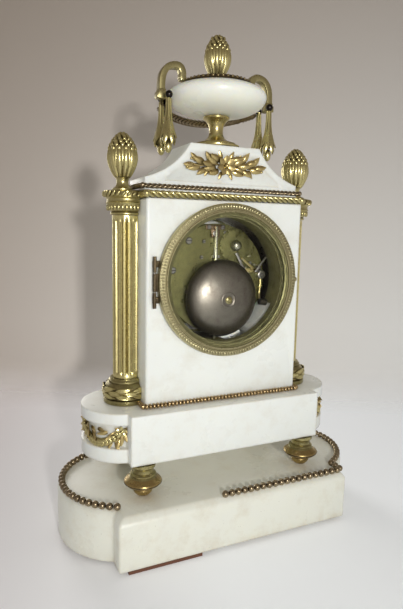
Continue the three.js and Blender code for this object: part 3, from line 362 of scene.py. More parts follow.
def leaf(name, length, width, bulge=0.5, curl=0.0, thick=0.45):
    """A pointed leaf along +Y that lies on XY, with a raised rib and a curled tip."""
    def place(across, along):
        half = width / 2 * math.sin(math.pi * (0.08 + 0.92 * along) ** 0.75) ** 0.8 if along < 1 else 0.0
        rib = bulge * (1 - abs(across)) * math.sin(math.pi * min(1, along + 0.1))
        return across * half, along * length, rib + curl * along ** 2
    return bent_sheet(name, 4, 6, thick, -1, place)


def petal(name, path, half_widths, bulge, thick=0.5):
    """A long scale that follows a turned profile: radius and height pairs, with a half width at each."""
    rows = len(path) - 1
    def place(across, along):
        row = round(along * rows)
        r, z = path[row]
        lifted = r + bulge * (1 - across * across)
        angle = across * half_widths[row] / max(r, 0.8)
        return lifted * math.cos(angle), lifted * math.sin(angle), z
    return bent_sheet(name, 4, rows, thick, 0, place)


def wreath_leaf(name, radius, length, width, rise):
    """A laurel leaf in low relief, bent round a torus, that leans up or down from its stalk."""
    def place(across, along):
        half = width / 2 * math.sin(math.pi * (0.05 + 0.95 * along) ** 0.85) ** 0.75 if along < 1 else 0.0
        z = across * half + rise * along ** 0.8
        lift = 0.2 + 1.0 * abs(across) ** 2 * math.sin(math.pi * along) + 0.5 * (1 - abs(across)) ** 2
        r = radius + lift - 0.05 * z * z
        angle = along * length / radius
        return r * math.cos(angle), r * math.sin(angle), z
    return bent_sheet(name, 6, 10, 0.5, -1, place)


def smooth_path(name, points, resolution, **settings):
    """A mesh made from a smooth open curve along the points; the settings give the curve its thickness."""
    deselect()
    bpy.ops.curve.primitive_nurbs_path_add()
    path = bpy.context.object
    spline = path.data.splines[0]
    missing = len(points) - len(spline.points)
    if missing > 0:
        spline.points.add(missing)
    for key, value in settings.items():
        setattr(path.data, key, value)
    path.data.resolution_u = resolution
    spline.order_u = 3
    spline.use_endpoint_u = True
    for i, point in enumerate(spline.points):
        x, y, z = points[min(i, len(points) - 1)]
        point.co = (x * MM, y * MM, z * MM, 1)
    make_active(path)
    bpy.ops.object.convert(target="MESH")
    return named(name)


def stem(name, points, radius):
    """A thin round stem through the points."""
    return smooth(smooth_path(name, points, 4, bevel_depth=radius * MM, bevel_resolution=1), 60)


def scroll_handle(name, way, bar_mm, width_mm):
    """A flat bar bent along a smooth path in X and Z."""
    piece = smooth_path(name, [(x, z, 0) for x, z in way], 6, dimensions="2D", extrude=width_mm / 2 * MM)
    apply_modifier(piece, "SOLIDIFY", thickness=bar_mm * MM, offset=0)
    apply_modifier(piece, "BEVEL", width=0.35 * MM, segments=2, limit_method="ANGLE",
                   angle_limit=math.radians(50))
    piece.data.transform(turn(90, "X"))
    return smooth(piece)


def walk(points, pitch):
    """Evenly spaced points along a line, with the direction at each."""
    points = [Vector(p) for p in points]
    lengths = [(b - a).length for a, b in zip(points, points[1:])]
    count = max(1, round(sum(lengths) / pitch))
    step = sum(lengths) / count
    found = []
    for i in range(count + 1):
        left = i * step
        for (a, b), length in zip(zip(points, points[1:]), lengths):
            if left <= length + 1e-6:
                found.append((a + (b - a) * min(1, left / length), (b - a).normalized()))
                break
            left -= length
    return found


def beads(name, points, across, pitch, flat=1.0):
    """Beads along a line; a flatness below 1 makes them narrow along it."""
    places = [move(*spot) @ pointing(ahead, "X", "Z") @ size(flat, 1, 1)
              for spot, ahead in walk(points, pitch)]
    return copies(name, ball("bead", across), places)


def ring_of(name, pattern, count, radius, height, tilt=0.0):
    """Copies of a small shape round Z at one radius and height, each facing out."""
    places = []
    for i in range(count):
        angle = math.tau * i / count
        out = (math.cos(angle), math.sin(angle), 0)
        places.append(facing((radius * out[0], radius * out[1], height), out, tilt))
    return copies(name, pattern, places)


def straight_rope(name, length, across, pitch, hand):
    """Three strands twisted together along X, by a screw of one small circle."""
    deselect()
    turns = max(1, round(length / (3 * pitch)))
    bpy.ops.mesh.primitive_circle_add(vertices=8, radius=across * 0.27 * MM,
                                      location=(across * 0.235 * MM, 0, 0))
    bpy.ops.object.transform_apply(location=True)
    strand = named("strand")
    apply_modifier(strand, "SCREW", axis="Z", angle=hand * math.tau, screw_offset=length / turns * MM,
                   iterations=turns, steps=20, render_steps=20, use_merge_vertices=True)
    closed(strand)
    strand.data.transform(move(0, 0, -length / 2))
    return copies(name, strand, [turn(90, "Y") @ lay for lay in round_z(3)])


def rope_loop(name, half_x, half_y, z, across, pitch, hand):
    """Ropes round a rectangle, with a rounded knob where they meet."""
    long = straight_rope("rope_long", 2 * half_x, across, pitch, hand)
    short = straight_rope("rope_short", 2 * half_y, across, pitch, hand)
    knob = ball("rope_knob", across * 1.08)
    corners = [move(sx * half_x, sy * half_y, z) for sx in (1, -1) for sy in (1, -1)]
    return joined(name, [
        copies("long_pair", long, [move(0, half_y, z), move(0, -half_y, z) @ turn(180, "Z")]),
        copies("short_pair", short, [move(half_x, 0, z) @ turn(-90, "Z"),
                                     move(-half_x, 0, z) @ turn(90, "Z")]),
        copies("knobs", knob, corners)])


# An edge of a block longer than this is one of its corners; the pediment's foot is this high
UPRIGHT_LEAST, PEDIMENT_FOOT = 20, 6


def worn(node, start, end):
    """Whether an edge of a block is worn round; the fine edges of its bore, recess or foot stay crisp."""
    low, high = node_box(node)
    upright = abs(start.z - end.z) > UPRIGHT_LEAST
    if node == "case_block":
        return upright
    if node == "pediment_block":
        return min(start.z, end.z) > low.z + PEDIMENT_FOOT
    at_top = min(start.z, end.z) > high.z - 0.1
    at_foot = max(start.z, end.z) < low.z + 0.1
    return upright or at_top or at_foot


def from_node(name, node, round_mm):
    """A copy of a node with its faces merged and its worn edges rounded."""
    source = frame["nodes"][node]
    piece = source.copy()
    piece.data = source.data.copy()
    piece.parent = None
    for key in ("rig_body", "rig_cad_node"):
        if key in piece:
            del piece[key]
    bpy.context.collection.objects.link(piece)
    make_active(piece)
    named(name)
    bpy.ops.object.mode_set(mode="EDIT")
    bpy.ops.mesh.select_all(action="SELECT")
    bpy.ops.mesh.remove_doubles(threshold=MM * 0.01)
    bpy.ops.mesh.dissolve_limited(angle_limit=math.radians(1))
    bpy.ops.mesh.select_mode(type="EDGE")
    bpy.ops.mesh.select_all(action="DESELECT")
    bpy.ops.mesh.edges_select_sharp(sharpness=math.radians(35))
    bpy.ops.object.mode_set(mode="OBJECT")
    ends = piece.data.vertices
    for edge in piece.data.edges:
        start, end = (ends[i].co / MM for i in edge.vertices)
        edge.select = edge.select and worn(node, start, end)
    bpy.ops.object.mode_set(mode="EDIT")
    bpy.ops.mesh.bevel(offset=round_mm * MM, segments=3, affect="EDGES", clamp_overlap=True)
    bpy.ops.mesh.select_mode(type="VERT")
    bpy.ops.object.mode_set(mode="OBJECT")
    piece.data.materials.clear()
    return smooth(piece, 30)


# Shader nodes
def feed(tree, node, sockets):
    """Fills a node's inputs by label or number: an output of another node is linked, a value is set."""
    for key, value in sockets.items():
        if isinstance(value, bpy.types.NodeSocket):
            tree.links.new(value, node.inputs[key])
        else:
            node.inputs[key].default_value = value


def add_node(tree, kind, sockets, **settings):
    node = tree.nodes.new("ShaderNode" + kind)
    for key, value in settings.items():
        setattr(node, key, value)
    feed(tree, node, sockets)
    return node


def object_place(tree):
    return add_node(tree, "TexCoord", {}).outputs["Object"]


def noise(tree, scale, detail, roughness=0.55):
    """Noise on Object coordinates; scale is in features per metre."""
    sockets = {"Scale": scale, "Detail": detail, "Roughness": roughness, "Vector": object_place(tree)}
    return add_node(tree, "TexNoise", sockets).outputs["Fac"]


def remap(tree, value, low, high, to_low=0.0, to_high=1.0):
    sockets = {"Value": value, "From Min": low, "From Max": high, "To Min": to_low, "To Max": to_high}
    return add_node(tree, "MapRange", sockets, clamp=True).outputs["Result"]


def maths(tree, kind, first, second):
    clamped = kind != "SUBTRACT"
    return add_node(tree, "Math", {0: first, 1: second}, operation=kind, use_clamp=clamped).outputs["Value"]


def times(tree, first, second):
    return maths(tree, "MULTIPLY", first, second)


def plus(tree, first, second):
    return maths(tree, "ADD", first, second)


def blend_colour(tree, share, first, second):
    return add_node(tree, "Mix", {0: share, 6: first, 7: second}, data_type="RGBA").outputs[2]


def bump(tree, height, strength, distance_mm, **sockets):
    sockets.update({"Strength": strength, "Distance": distance_mm * MM, "Height": height})
    return add_node(tree, "Bump", sockets).outputs["Normal"]


def crevice(tree, depth_mm, local=True):
    """How shut in a point is: 1 in a hollow."""
    node = add_node(tree, "AmbientOcclusion", {"Distance": depth_mm * MM}, samples=6, only_local=local)
    return maths(tree, "SUBTRACT", 1.0, node.outputs["AO"])


def seen_directly(tree):
    """1 for the camera, and for what metal and glass show of the background."""
    path = add_node(tree, "LightPath", {}).outputs
    mirrored = maths(tree, "MAXIMUM", path["Is Glossy Ray"], path["Is Transmission Ray"])
    return maths(tree, "MAXIMUM", path["Is Camera Ray"], mirrored)


def mix_shaders(tree, share, first, second, output="Material Output"):
    mix = add_node(tree, "MixShader", {0: share, 1: first, 2: second})
    tree.links.new(mix.outputs["Shader"], tree.nodes[output].inputs["Surface"])


# Node groups that the finishes share, and the finishes, by their short names
GROUPS = {}
FINISHES = {}


def group_tree(name, inputs, outputs):
    tree = bpy.data.node_groups.new(name, "ShaderNodeTree")
    kinds = {"c": "NodeSocketColor", "v": "NodeSocketFloat", "n": "NodeSocketVector"}
    for way, sockets in (("INPUT", inputs), ("OUTPUT", outputs)):
        for label, kind in sockets.items():
            tree.interface.new_socket(name=label, in_out=way, socket_type=kinds[kind])
    return tree, tree.nodes.new("NodeGroupInput").outputs, tree.nodes.new("NodeGroupOutput")


def build_patina():
    """Tarnish that gathers in hollows and in blotches over a clean metal."""
    tree, given, out = group_tree("Patina", {"Clean": "c", "Tarnish": "c", "Hollows": "v", "Blotches": "v"},
                                  {"Colour": "c", "Roughness": "v", "Height": "v"})
    hollow = times(tree, remap(tree, crevice(tree, 3.0), 0.10, 0.75), given["Hollows"])
    broad = times(tree, remap(tree, noise(tree, 160, 5), 0.42, 0.72), given["Blotches"])
    fine = noise(tree, 900, 3)
    speckle = times(tree, remap(tree, fine, 0.55, 0.8), given["Blotches"])
    mask = plus(tree, plus(tree, hollow, broad), speckle)
    dull = plus(tree, mask, times(tree, fine, 0.4))
    feed(tree, out, {"Colour": blend_colour(tree, mask, given["Clean"], given["Tarnish"]),
                     "Roughness": remap(tree, dull, 0.1, 1.2, 0.24, 0.62), "Height": fine})
    return tree


# How far the marble's edges are worn round, in millimetres, its colours of age, and its painted top shade and
# dust
EDGE_WEAR = 1.8
GREY_CLOUD = (0.66, 0.67, 0.64, 1)
RUBBED_EDGE = (0.66, 0.57, 0.42, 1)
TOP_SHADE_AND_DUST = (0.66, 0.60, 0.47, 1)
DARK_SPECK = (0.20, 0.17, 0.12, 1)


def build_stone():
    """Cloudy marble: stains and painted shade where pieces meet, rubbed edges, painted shade and dust on top,
    small dark specks.
    """
    tree, given, out = group_tree("Stone clouds", {"Body": "c", "Stain": "c", "Age": "v"},
                                  {"Colour": "c", "Roughness": "v", "Height": "v", "Normal": "n"})
    age = given["Age"]
    cloud = remap(tree, noise(tree, 22, 5, 0.6), 0.38, 0.72)
    vein = remap(tree, noise(tree, 60, 8, 0.7), 0.50, 0.78)
    speck = remap(tree, noise(tree, 750, 2), 0.70, 0.78)
    patchy = remap(tree, noise(tree, 120, 4), 0.30, 0.65)
    # Ambient occlusion turns the marble beige where pieces meet and under mounts: real stain there, and
    # painted shade.
    grime_and_shade = times(tree, remap(tree, crevice(tree, 12.0, False), 0.22, 0.85), patchy)
    surface = add_node(tree, "NewGeometry", {}).outputs["Normal"]
    softened = add_node(tree, "Bevel", {"Radius": EDGE_WEAR * MM}, samples=4).outputs["Normal"]
    bent = add_node(tree, "VectorMath", {0: surface, 1: softened}, operation="DOT_PRODUCT").outputs["Value"]
    uneven = remap(tree, noise(tree, 45, 5), 0.35, 0.7, 0.15, 1.0)
    rubbed = times(tree, remap(tree, bent, 0.998, 0.85), uneven)
    slant = add_node(tree, "SeparateXYZ", {"Vector": surface}).outputs["Z"]
    colour = blend_colour(tree, times(tree, cloud, 0.22), given["Body"], GREY_CLOUD)
    colour = blend_colour(tree, times(tree, times(tree, vein, age), 0.42), colour, given["Stain"])
    colour = blend_colour(tree, times(tree, grime_and_shade, times(tree, age, 0.9)), colour, given["Stain"])
    colour = blend_colour(tree, times(tree, rubbed, 0.75), colour, RUBBED_EDGE)
    # Upward faces turn beige-grey: painted shade of the grazing light, with some dust.
    colour = blend_colour(tree, remap(tree, slant, 0.6, 1.0, 0.0, 0.3), colour, TOP_SHADE_AND_DUST)
    colour = blend_colour(tree, times(tree, speck, times(tree, age, 0.4)), colour, DARK_SPECK)
    feed(tree, out, {"Colour": colour, "Normal": softened,
                     "Height": plus(tree, times(tree, cloud, 0.5), speck),
                     "Roughness": remap(tree, plus(tree, cloud, grime_and_shade), 0.0, 1.4, 0.26, 0.48)})
    return tree


def build_marks():
    """Fine rubbed scratches that run one way over a metal plate."""
    tree, given, out = group_tree("Rubbed marks", {"Length": "v"}, {"Height": "v", "Worn": "v"})
    drawn_out = add_node(tree, "Mapping", {"Vector": object_place(tree), "Rotation": (0.3, 0.5, 0.2),
                                           "Scale": (1.0, 1.0, 0.06)}).outputs["Vector"]
    marks = add_node(tree, "TexNoise", {"Vector": drawn_out, "Scale": given["Length"],
                                        "Detail": 4}).outputs["Fac"]
    feed(tree, out, {"Height": marks, "Worn": remap(tree, marks, 0.4, 0.7)})
    return tree


def rgba(colour):
    return (*colour, 1.0)


def shade(colour, factor):
    return tuple(min(1.0, c * factor) for c in colour)


def plain_material(name):
    material = bpy.data.materials.new(name)
    material.use_nodes = True
    return material, material.node_tree, material.node_tree.nodes["Principled BSDF"]


def place_group(tree, key, **values):
    return add_node(tree, "Group", values, node_tree=GROUPS[key]).outputs


def marble(name, body, stain, age, depth_mm=3.0, glow=0.18):
    """Stone that lets light in to a depth; glow is the share of it."""
    material, tree, shader = plain_material(name)
    stone = place_group(tree, "stone", Body=rgba(body), Stain=rgba(stain), Age=age)
    feed(tree, shader, {
        "Base Color": stone["Colour"], "Roughness": stone["Roughness"],
        "Normal": bump(tree, stone["Height"], 0.12, 0.05, Normal=stone["Normal"]),
        "Subsurface Weight": glow, "Subsurface Radius": (1.0, 0.85, 0.6), "Subsurface Scale": depth_mm * MM,
        "Specular IOR Level": 0.45})
    return material


def metal(name, clean, tarnish, hollows, blotches, pits_mm=0.03):
    """Cast or turned metal, with the tarnish in its hollows and in blotches."""
    material, tree, shader = plain_material(name)
    patina = place_group(tree, "patina", Clean=rgba(clean), Tarnish=rgba(tarnish),
                         Hollows=hollows, Blotches=blotches)
    feed(tree, shader, {"Base Color": patina["Colour"], "Roughness": patina["Roughness"], "Metallic": 1.0,
                        "Normal": bump(tree, patina["Height"], 0.25, pits_mm)})
    return material


def plate_metal(name, clean, tarnish, marks, blotches, dull=0.0):
    """Rolled or beaten metal with rubbed marks; dull is added to its roughness."""
    material, tree, shader = plain_material(name)
    patina = place_group(tree, "patina", Clean=rgba(clean), Tarnish=rgba(tarnish),
                         Hollows=0.6, Blotches=blotches)
    rubbed = place_group(tree, "marks", Length=marks)
    roughness = plus(tree, patina["Roughness"], plus(tree, times(tree, rubbed["Worn"], 0.08), dull))
    feed(tree, shader, {"Base Color": patina["Colour"], "Roughness": roughness, "Metallic": 1.0,
                        "Normal": bump(tree, rubbed["Height"], 0.3, 0.02)})
    return material


def glass():
    """Clear glass that lets lamplight through to the movement."""
    material, tree, shader = plain_material("Door glass")
    smear = remap(tree, noise(tree, 40, 5), 0.4, 0.8, 0.0, 0.06)
    feed(tree, shader, {"Base Color": (0.97, 0.985, 0.97, 1), "Transmission Weight": 1.0, "IOR": 1.15,
                        "Roughness": smear})
    clear = add_node(tree, "BsdfTransparent", {}).outputs["BSDF"]
    path = add_node(tree, "LightPath", {}).outputs
    mix_shaders(tree, path["Is Shadow Ray"], shader.outputs["BSDF"], clear)
    return material


def enamel(name, colour):
    material, tree, shader = plain_material(name)
    cloud = remap(tree, noise(tree, 70, 4), 0.3, 0.8, 0.0, 0.3)
    feed(tree, shader, {"Base Color": blend_colour(tree, cloud, rgba(colour), rgba(shade(colour, 0.88))),
                        "Roughness": remap(tree, noise(tree, 300, 3), 0.3, 0.7, 0.12, 0.24),
                        "Coat Weight": 0.3})
    return material


def board():
    material, tree, shader = plain_material("Brown board")
    fibre = noise(tree, 1400, 5)
    light, dark = (0.19, 0.075, 0.04, 1), (0.08, 0.034, 0.02, 1)
    feed(tree, shader, {"Base Color": blend_colour(tree, fibre, light, dark),
                        "Normal": bump(tree, fibre, 0.6, 0.2),
                        "Roughness": remap(tree, fibre, 0.2, 0.8, 0.8, 0.98)})
    return material


def make_finishes():
    tint = colours()
    gilt, tarnish, white, stain = (
        tuple(colour) for colour in (tint.gilt, tint.tarnish, tint.marble, tint.marble_stain))
    yellowed = tuple(c * share for c, share in zip(white, (0.98, 0.955, 0.885)))
    GROUPS.update(patina=build_patina(), stone=build_stone(), marks=build_marks())
    # Name, body colour, stain, age, and how deep and how much light goes in
    for key, *look in (
            ("marble", "White marble", white, stain, 0.6),
            ("marble_base", "Yellowed marble", yellowed, stain, 0.9),
            ("alabaster", "Alabaster", (0.85, 0.86, 0.775), stain, 0.2, 14.0, 0.8)):
        FINISHES[key] = marble(*look)
    # Name, clean colour, tarnish, how much of it in hollows and in blotches, and the depth of the pits
    for key, *look in (
            ("gilt", "Worn gilding", gilt, tarnish, 1.0, 0.35),
            # A lighter copy of the gilding: painted light on the raised parts that carry it.
            ("gilt_lit", "Lit gilding", shade(gilt, 1.12), tarnish, 1.5, 0.15),
            ("gilt_brown", "Browned gilding", (0.46, 0.34, 0.14), (0.06, 0.032, 0.012), 1.5, 0.4),
            ("gilt_warm", "Warm gilding", (0.63, 0.50, 0.22), (0.09, 0.055, 0.018), 1.3, 0.35),
            # A brighter copy of the gilding for the shaft, with strong tarnish in its flutes: partly real
            # tarnish, partly painted shade of the flutes.
            ("gilt_fluted", "Fluted gilding", shade(gilt, 1.3), tarnish, 2.2, 0.15),
            # A darker copy of the gilding: painted shade on the parts set back in or under others.
            ("gilt_shaded", "Shaded gilding", shade(gilt, 0.72), tarnish, 1.0, 0.5),
            ("gilt_pale", "Pale gilding", (0.52, 0.47, 0.27), (0.11, 0.09, 0.04), 1.0, 0.25),
            ("copper", "Coppery gilding", (0.52, 0.38, 0.20), (0.09, 0.055, 0.025), 1.0, 0.3),
            ("copper_dull", "Coppery brass", (0.21, 0.145, 0.085), (0.05, 0.028, 0.015), 0.8, 0.4),
            ("bronze", "Tarnished bronze", (0.34, 0.27, 0.17), (0.05, 0.034, 0.02), 1.0, 0.45),
            ("bronze_dark", "Dark bronze", (0.13, 0.10, 0.06), (0.025, 0.018, 0.01), 1.0, 0.5),
            ("bronze_gold", "Half tarnished gilding", (0.34, 0.26, 0.13), (0.035, 0.025, 0.012), 1.0, 0.5),
            ("brass", "Olive brass", tuple(tint.brass), shade(tarnish, 1.3), 0.9, 0.45),
            ("brass_polished", "Polished brass", (0.52, 0.44, 0.20), shade(tarnish, 1.6), 0.5, 0.15, 0.01),
            ("plate_bright", "Bright movement brass", (0.55, 0.46, 0.20), shade(tarnish, 1.5), 0.8, 0.2, 0.01),
            ("steel_bright", "Polished steel", (0.42, 0.41, 0.31), (0.12, 0.10, 0.06), 0.6, 0.2, 0.01),
            ("black", "Blackened screw", (0.035, 0.03, 0.028), (0.01, 0.008, 0.007), 0.8, 0.3),
            ("blue", "Blued steel", (0.03, 0.035, 0.06), (0.015, 0.012, 0.012), 0.5, 0.3)):
        FINISHES[key] = metal(*look)
    # Name, clean colour, tarnish, marks to the metre, share in blotches, and what is added to the roughness
    for key, *look in (
            ("plate", "Movement plate", (0.22, 0.21, 0.085), (0.07, 0.068, 0.026), 700, 0.6),
            ("bell", "Bell metal", tuple(tint.bell), (0.09, 0.07, 0.05), 500, 0.45, 0.04),
            ("sleeve", "Olive sleeve", (0.25, 0.235, 0.115), (0.09, 0.08, 0.03), 500, 0.35, 0.3),
            ("steel_dark", "Browned steel", (0.13, 0.12, 0.11), (0.03, 0.022, 0.018), 900, 0.4),
            ("steel", "Steel", (0.33, 0.32, 0.30), (0.09, 0.07, 0.05), 900, 0.4)):
        FINISHES[key] = plate_metal(*look)
    FINISHES.update(glass=glass(), board=board(), enamel=enamel("White enamel", (0.84, 0.83, 0.78)),
                    ink=enamel("Dial black", (0.02, 0.018, 0.018)))


# The photograph's camera: where it stands in millimetres, its heading in degrees, its lens and film height
CAMERA_AT = (154.02, 318.04, 199.68)
CAMERA_YAW, CAMERA_PITCH, CAMERA_ROLL = -155.342, -8.234, 1.148
LENS, FILM_HEIGHT = 30.51, 36

# Light: the even light's colour and strength, and the lamps' colour, target, places, sizes, watts and spread
AMBIENT_COLOUR, AMBIENT = (1.0, 0.98, 0.94, 1), 0.41
LAMP_COLOUR, LAMP_TARGET = (1.0, 0.99, 0.97), (0, 0, 160)
KEY_RIGHT, KEY_AHEAD, KEY_UP = 149, -300, 240
KEY_ACROSS, KEY_WATTS, KEY_SPREAD = 40, 0.70, 90
FRONT_AT = (160, -1000, 260)
FRONT_ACROSS, FRONT_WATTS, FRONT_SPREAD = 420, 2.8, 120

# Floor: its reach, its colours to the camera's left and right, darker to the left as painted shade, and how
# much paler than lit it shows, a painted glow
FLOOR_R = 900
FLOOR_LEFT, FLOOR_RIGHT = (0.62, 0.565, 0.56, 1), (0.93, 0.945, 0.96, 1)
FLOOR_GLOW, FLOOR_LIFT = (0.95, 0.97, 1.0, 1), 0.11

# Backdrop: its distance from the camera, its half width, its height and where it has faded in over the floor
SWEEP_FAR, SWEEP_HALF, SWEEP_TOP, SWEEP_FADE = 550, 700, 900, 50
# Backdrop colours low and high, from the camera's left to its right: painted shade that darkens it to the left
# and upwards
SWEEP_LOW = (0.56, 0.50, 0.45, 1), (0.80, 0.79, 0.77, 1)
SWEEP_HIGH = (0.38, 0.32, 0.27, 1), (0.50, 0.45, 0.405, 1)
WORLD_TOP = (0.25, 0.215, 0.185, 1)


def from_camera(right, ahead, height):
    """A place right of the photograph's camera and ahead of it, at a height over the floor."""
    yaw = math.radians(CAMERA_YAW)
    x = CAMERA_AT[0] + right * math.cos(yaw) + ahead * math.sin(yaw)
    y = CAMERA_AT[1] - right * math.sin(yaw) + ahead * math.cos(yaw)
    return Vector((x, y, height))


def sideways(tree):
    """How far right of the camera's line a point lies, in metres."""
    origin = from_camera(0, 0, 0)
    right = from_camera(1, 0, 0) - origin
    dot = add_node(tree, "VectorMath", {0: object_place(tree), 1: right}, operation="DOT_PRODUCT")
    reach = dot.outputs["Value"]
    return maths(tree, "SUBTRACT", reach, origin.dot(right) * MM)


def upwards(tree):
    """How high over the floor a point lies, in metres."""
    return add_node(tree, "SeparateXYZ", {"Vector": object_place(tree)}).outputs["Z"]


def build_world():
    """A pale sweep that darkens upwards for the camera, metal and glass; even light for the rest."""
    world = bpy.data.worlds.new("Studio")
    bpy.context.scene.world = world
    world.use_nodes = True
    tree = world.node_tree
    ambient = tree.nodes["Background"]
    feed(tree, ambient, {"Color": AMBIENT_COLOUR, "Strength": AMBIENT})
    way = add_node(tree, "TexCoord", {}).outputs["Generated"]
    heading = add_node(tree, "SeparateXYZ", {"Vector": way}).outputs
    pale = tuple(colours().backdrop)
    low = blend_colour(tree, remap(tree, heading["X"], -0.9, 0.3), rgba(pale), rgba(shade(pale, 0.78)))
    sweep = blend_colour(tree, remap(tree, heading["Z"], -0.15, 0.55), low, WORLD_TOP)
    shown = add_node(tree, "Background", {"Color": sweep}).outputs["Background"]
    mix_shaders(tree, seen_directly(tree), ambient.outputs["Background"], shown, "World Output")


def build_floor():
    """A pale floor that fades into the sweep away from the clock, darker to the camera's left by painted shade
    and lifted to its right by a painted glow.
    """
    deselect()
    bpy.ops.mesh.primitive_circle_add(vertices=64, radius=FLOOR_R * MM, fill_type="NGON")
    floor = named("floor")
    material, tree, shader = plain_material("Pale floor")
    side = remap(tree, sideways(tree), -0.22, 0.02)
    far = add_node(tree, "VectorMath", {0: object_place(tree)}, operation="LENGTH").outputs["Value"]
    feed(tree, shader, {
        "Base Color": blend_colour(tree, side, FLOOR_LEFT, FLOOR_RIGHT), "Roughness": 0.85,
        "Specular IOR Level": 0.2, "Emission Color": FLOOR_GLOW,
        "Emission Strength": times(tree, times(tree, seen_directly(tree), side), FLOOR_LIFT),
        "Alpha": remap(tree, far, FLOOR_R * MM * 0.3, FLOOR_R * MM * 0.95, 1.0, 0.0)})
    floor.data.materials.append(material)


def sweep_colour(tree):
    """Painted shade: warm and darker to the left and upwards, paler towards the right."""
    side = remap(tree, sideways(tree), -0.26, 0.22)
    low, high = (blend_colour(tree, side, *ends) for ends in (SWEEP_LOW, SWEEP_HIGH))
    return blend_colour(tree, remap(tree, upwards(tree), 0.10, 0.46), low, high)


def sweep_reach(tree):
    """Fades the backdrop in from the floor and out at its sides and top."""
    start = remap(tree, upwards(tree), 0.0, SWEEP_FADE * MM)
    away = add_node(tree, "Math", {0: sideways(tree)}, operation="ABSOLUTE").outputs["Value"]
    sides = remap(tree, away, SWEEP_HALF * 0.5 * MM, SWEEP_HALF * MM, 1.0, 0.0)
    top = remap(tree, upwards(tree), SWEEP_TOP * 0.6 * MM, SWEEP_TOP * MM, 1.0, 0.0)
    return times(tree, times(tree, start, sides), top)


def build_sweep():
    """A pale upright backdrop that fades into the floor; it shows only from the clock's side of it."""
    deselect()
    bpy.ops.mesh.primitive_plane_add(size=2 * MM)
    backdrop = named("backdrop")
    upright = turn(90, "X") @ size(SWEEP_HALF, SWEEP_TOP / 2, 1)
    heading = turn(180 - CAMERA_YAW, "Z")
    backdrop.data.transform(move(*from_camera(0, SWEEP_FAR, SWEEP_TOP / 2)) @ heading @ upright)
    toward_camera = from_camera(0, -1, 0) - from_camera(0, 0, 0)
    if backdrop.data.polygons[0].normal.dot(toward_camera) < 0:
        backdrop.data.flip_normals()
    material, tree, shader = plain_material("Pale backdrop")
    feed(tree, shader, {"Base Color": sweep_colour(tree), "Roughness": 0.9, "Specular IOR Level": 0.1})
    behind = add_node(tree, "NewGeometry", {}).outputs["Backfacing"]
    slanted = add_node(tree, "LayerWeight", {}).outputs["Facing"]
    shown = times(tree, seen_directly(tree), maths(tree, "SUBTRACT", 1.0, behind))
    shown = times(tree, shown, remap(tree, slanted, 0.17, 0.42, 1.0, 0.0))
    shown = times(tree, shown, sweep_reach(tree))
    clear = add_node(tree, "BsdfTransparent", {}).outputs["BSDF"]
    mix_shaders(tree, shown, clear, shader.outputs["BSDF"])
    backdrop.data.materials.append(material)


def area_lamp(name, where, across, watts, spread):
    deselect()
    bpy.ops.object.light_add(type="AREA", location=Vector(where) * MM)
    lamp = bpy.context.object
    lamp.name = name
    lamp.data.size = across * MM
    lamp.data.energy = watts
    lamp.data.color = LAMP_COLOUR
    lamp.data.spread = math.radians(spread)
    lamp.rotation_euler = (Vector(LAMP_TARGET) - Vector(where)).to_track_quat("-Z", "Y").to_euler()


def build_camera():
    yaw, pitch, roll = (math.radians(a) for a in (CAMERA_YAW, CAMERA_PITCH, CAMERA_ROLL))
    ahead = Vector((math.sin(yaw) * math.cos(pitch), math.cos(yaw) * math.cos(pitch), math.sin(pitch)))
    level = Vector((math.cos(yaw), -math.sin(yaw), 0))
    upright = level.cross(ahead)
    right = math.cos(roll) * level + math.sin(roll) * upright
    up = -math.sin(roll) * level + math.cos(roll) * upright
    deselect()
    bpy.ops.object.camera_add(location=Vector(CAMERA_AT) * MM)
    camera = bpy.context.object
    camera.name = "photo_view"
    camera.rotation_euler = Matrix((right, up, -ahead)).transposed().to_euler()
    camera.data.sensor_fit = "VERTICAL"
    camera.data.sensor_height = FILM_HEIGHT
    camera.data.lens = LENS
    camera.data.clip_start = 0.01
    bpy.context.scene.camera = camera


class CLOCK_OT_stage(bpy.types.Operator):
    """Floor, background, lamps and the camera at the photograph's angle"""
    bl_idname = "clock.stage"
    bl_label = "Stage"

    def execute(self, context):
        context.scene.view_settings.view_transform = "Standard"
        make_finishes()
        build_world()
        build_floor()
        build_sweep()
        area_lamp("key", from_camera(KEY_RIGHT, KEY_AHEAD, KEY_UP), KEY_ACROSS, KEY_WATTS, KEY_SPREAD)
        area_lamp("front", FRONT_AT, FRONT_ACROSS, FRONT_WATTS, FRONT_SPREAD)
        build_camera()
        return {"FINISHED"}


# Pediment panel: X and Z of half its outline, the face it is sunk in, the cutter's clearance over that
# face, its depth, the height it narrows towards, and by how much its floor draws in
PANEL_EDGE = [(21.6, 248.4), (24.4, 244.6), (28.2, 240.4), (33.6, 235.6), (40.6, 231.2), (42.4, 228.0)]
PANEL_FACE, PANEL_CLEAR, PANEL_DEEP, PANEL_MIDDLE = 15.5, 0.3, 1.1, 238.2
PANEL_DRAW = (0.955, 1.0, 0.87)


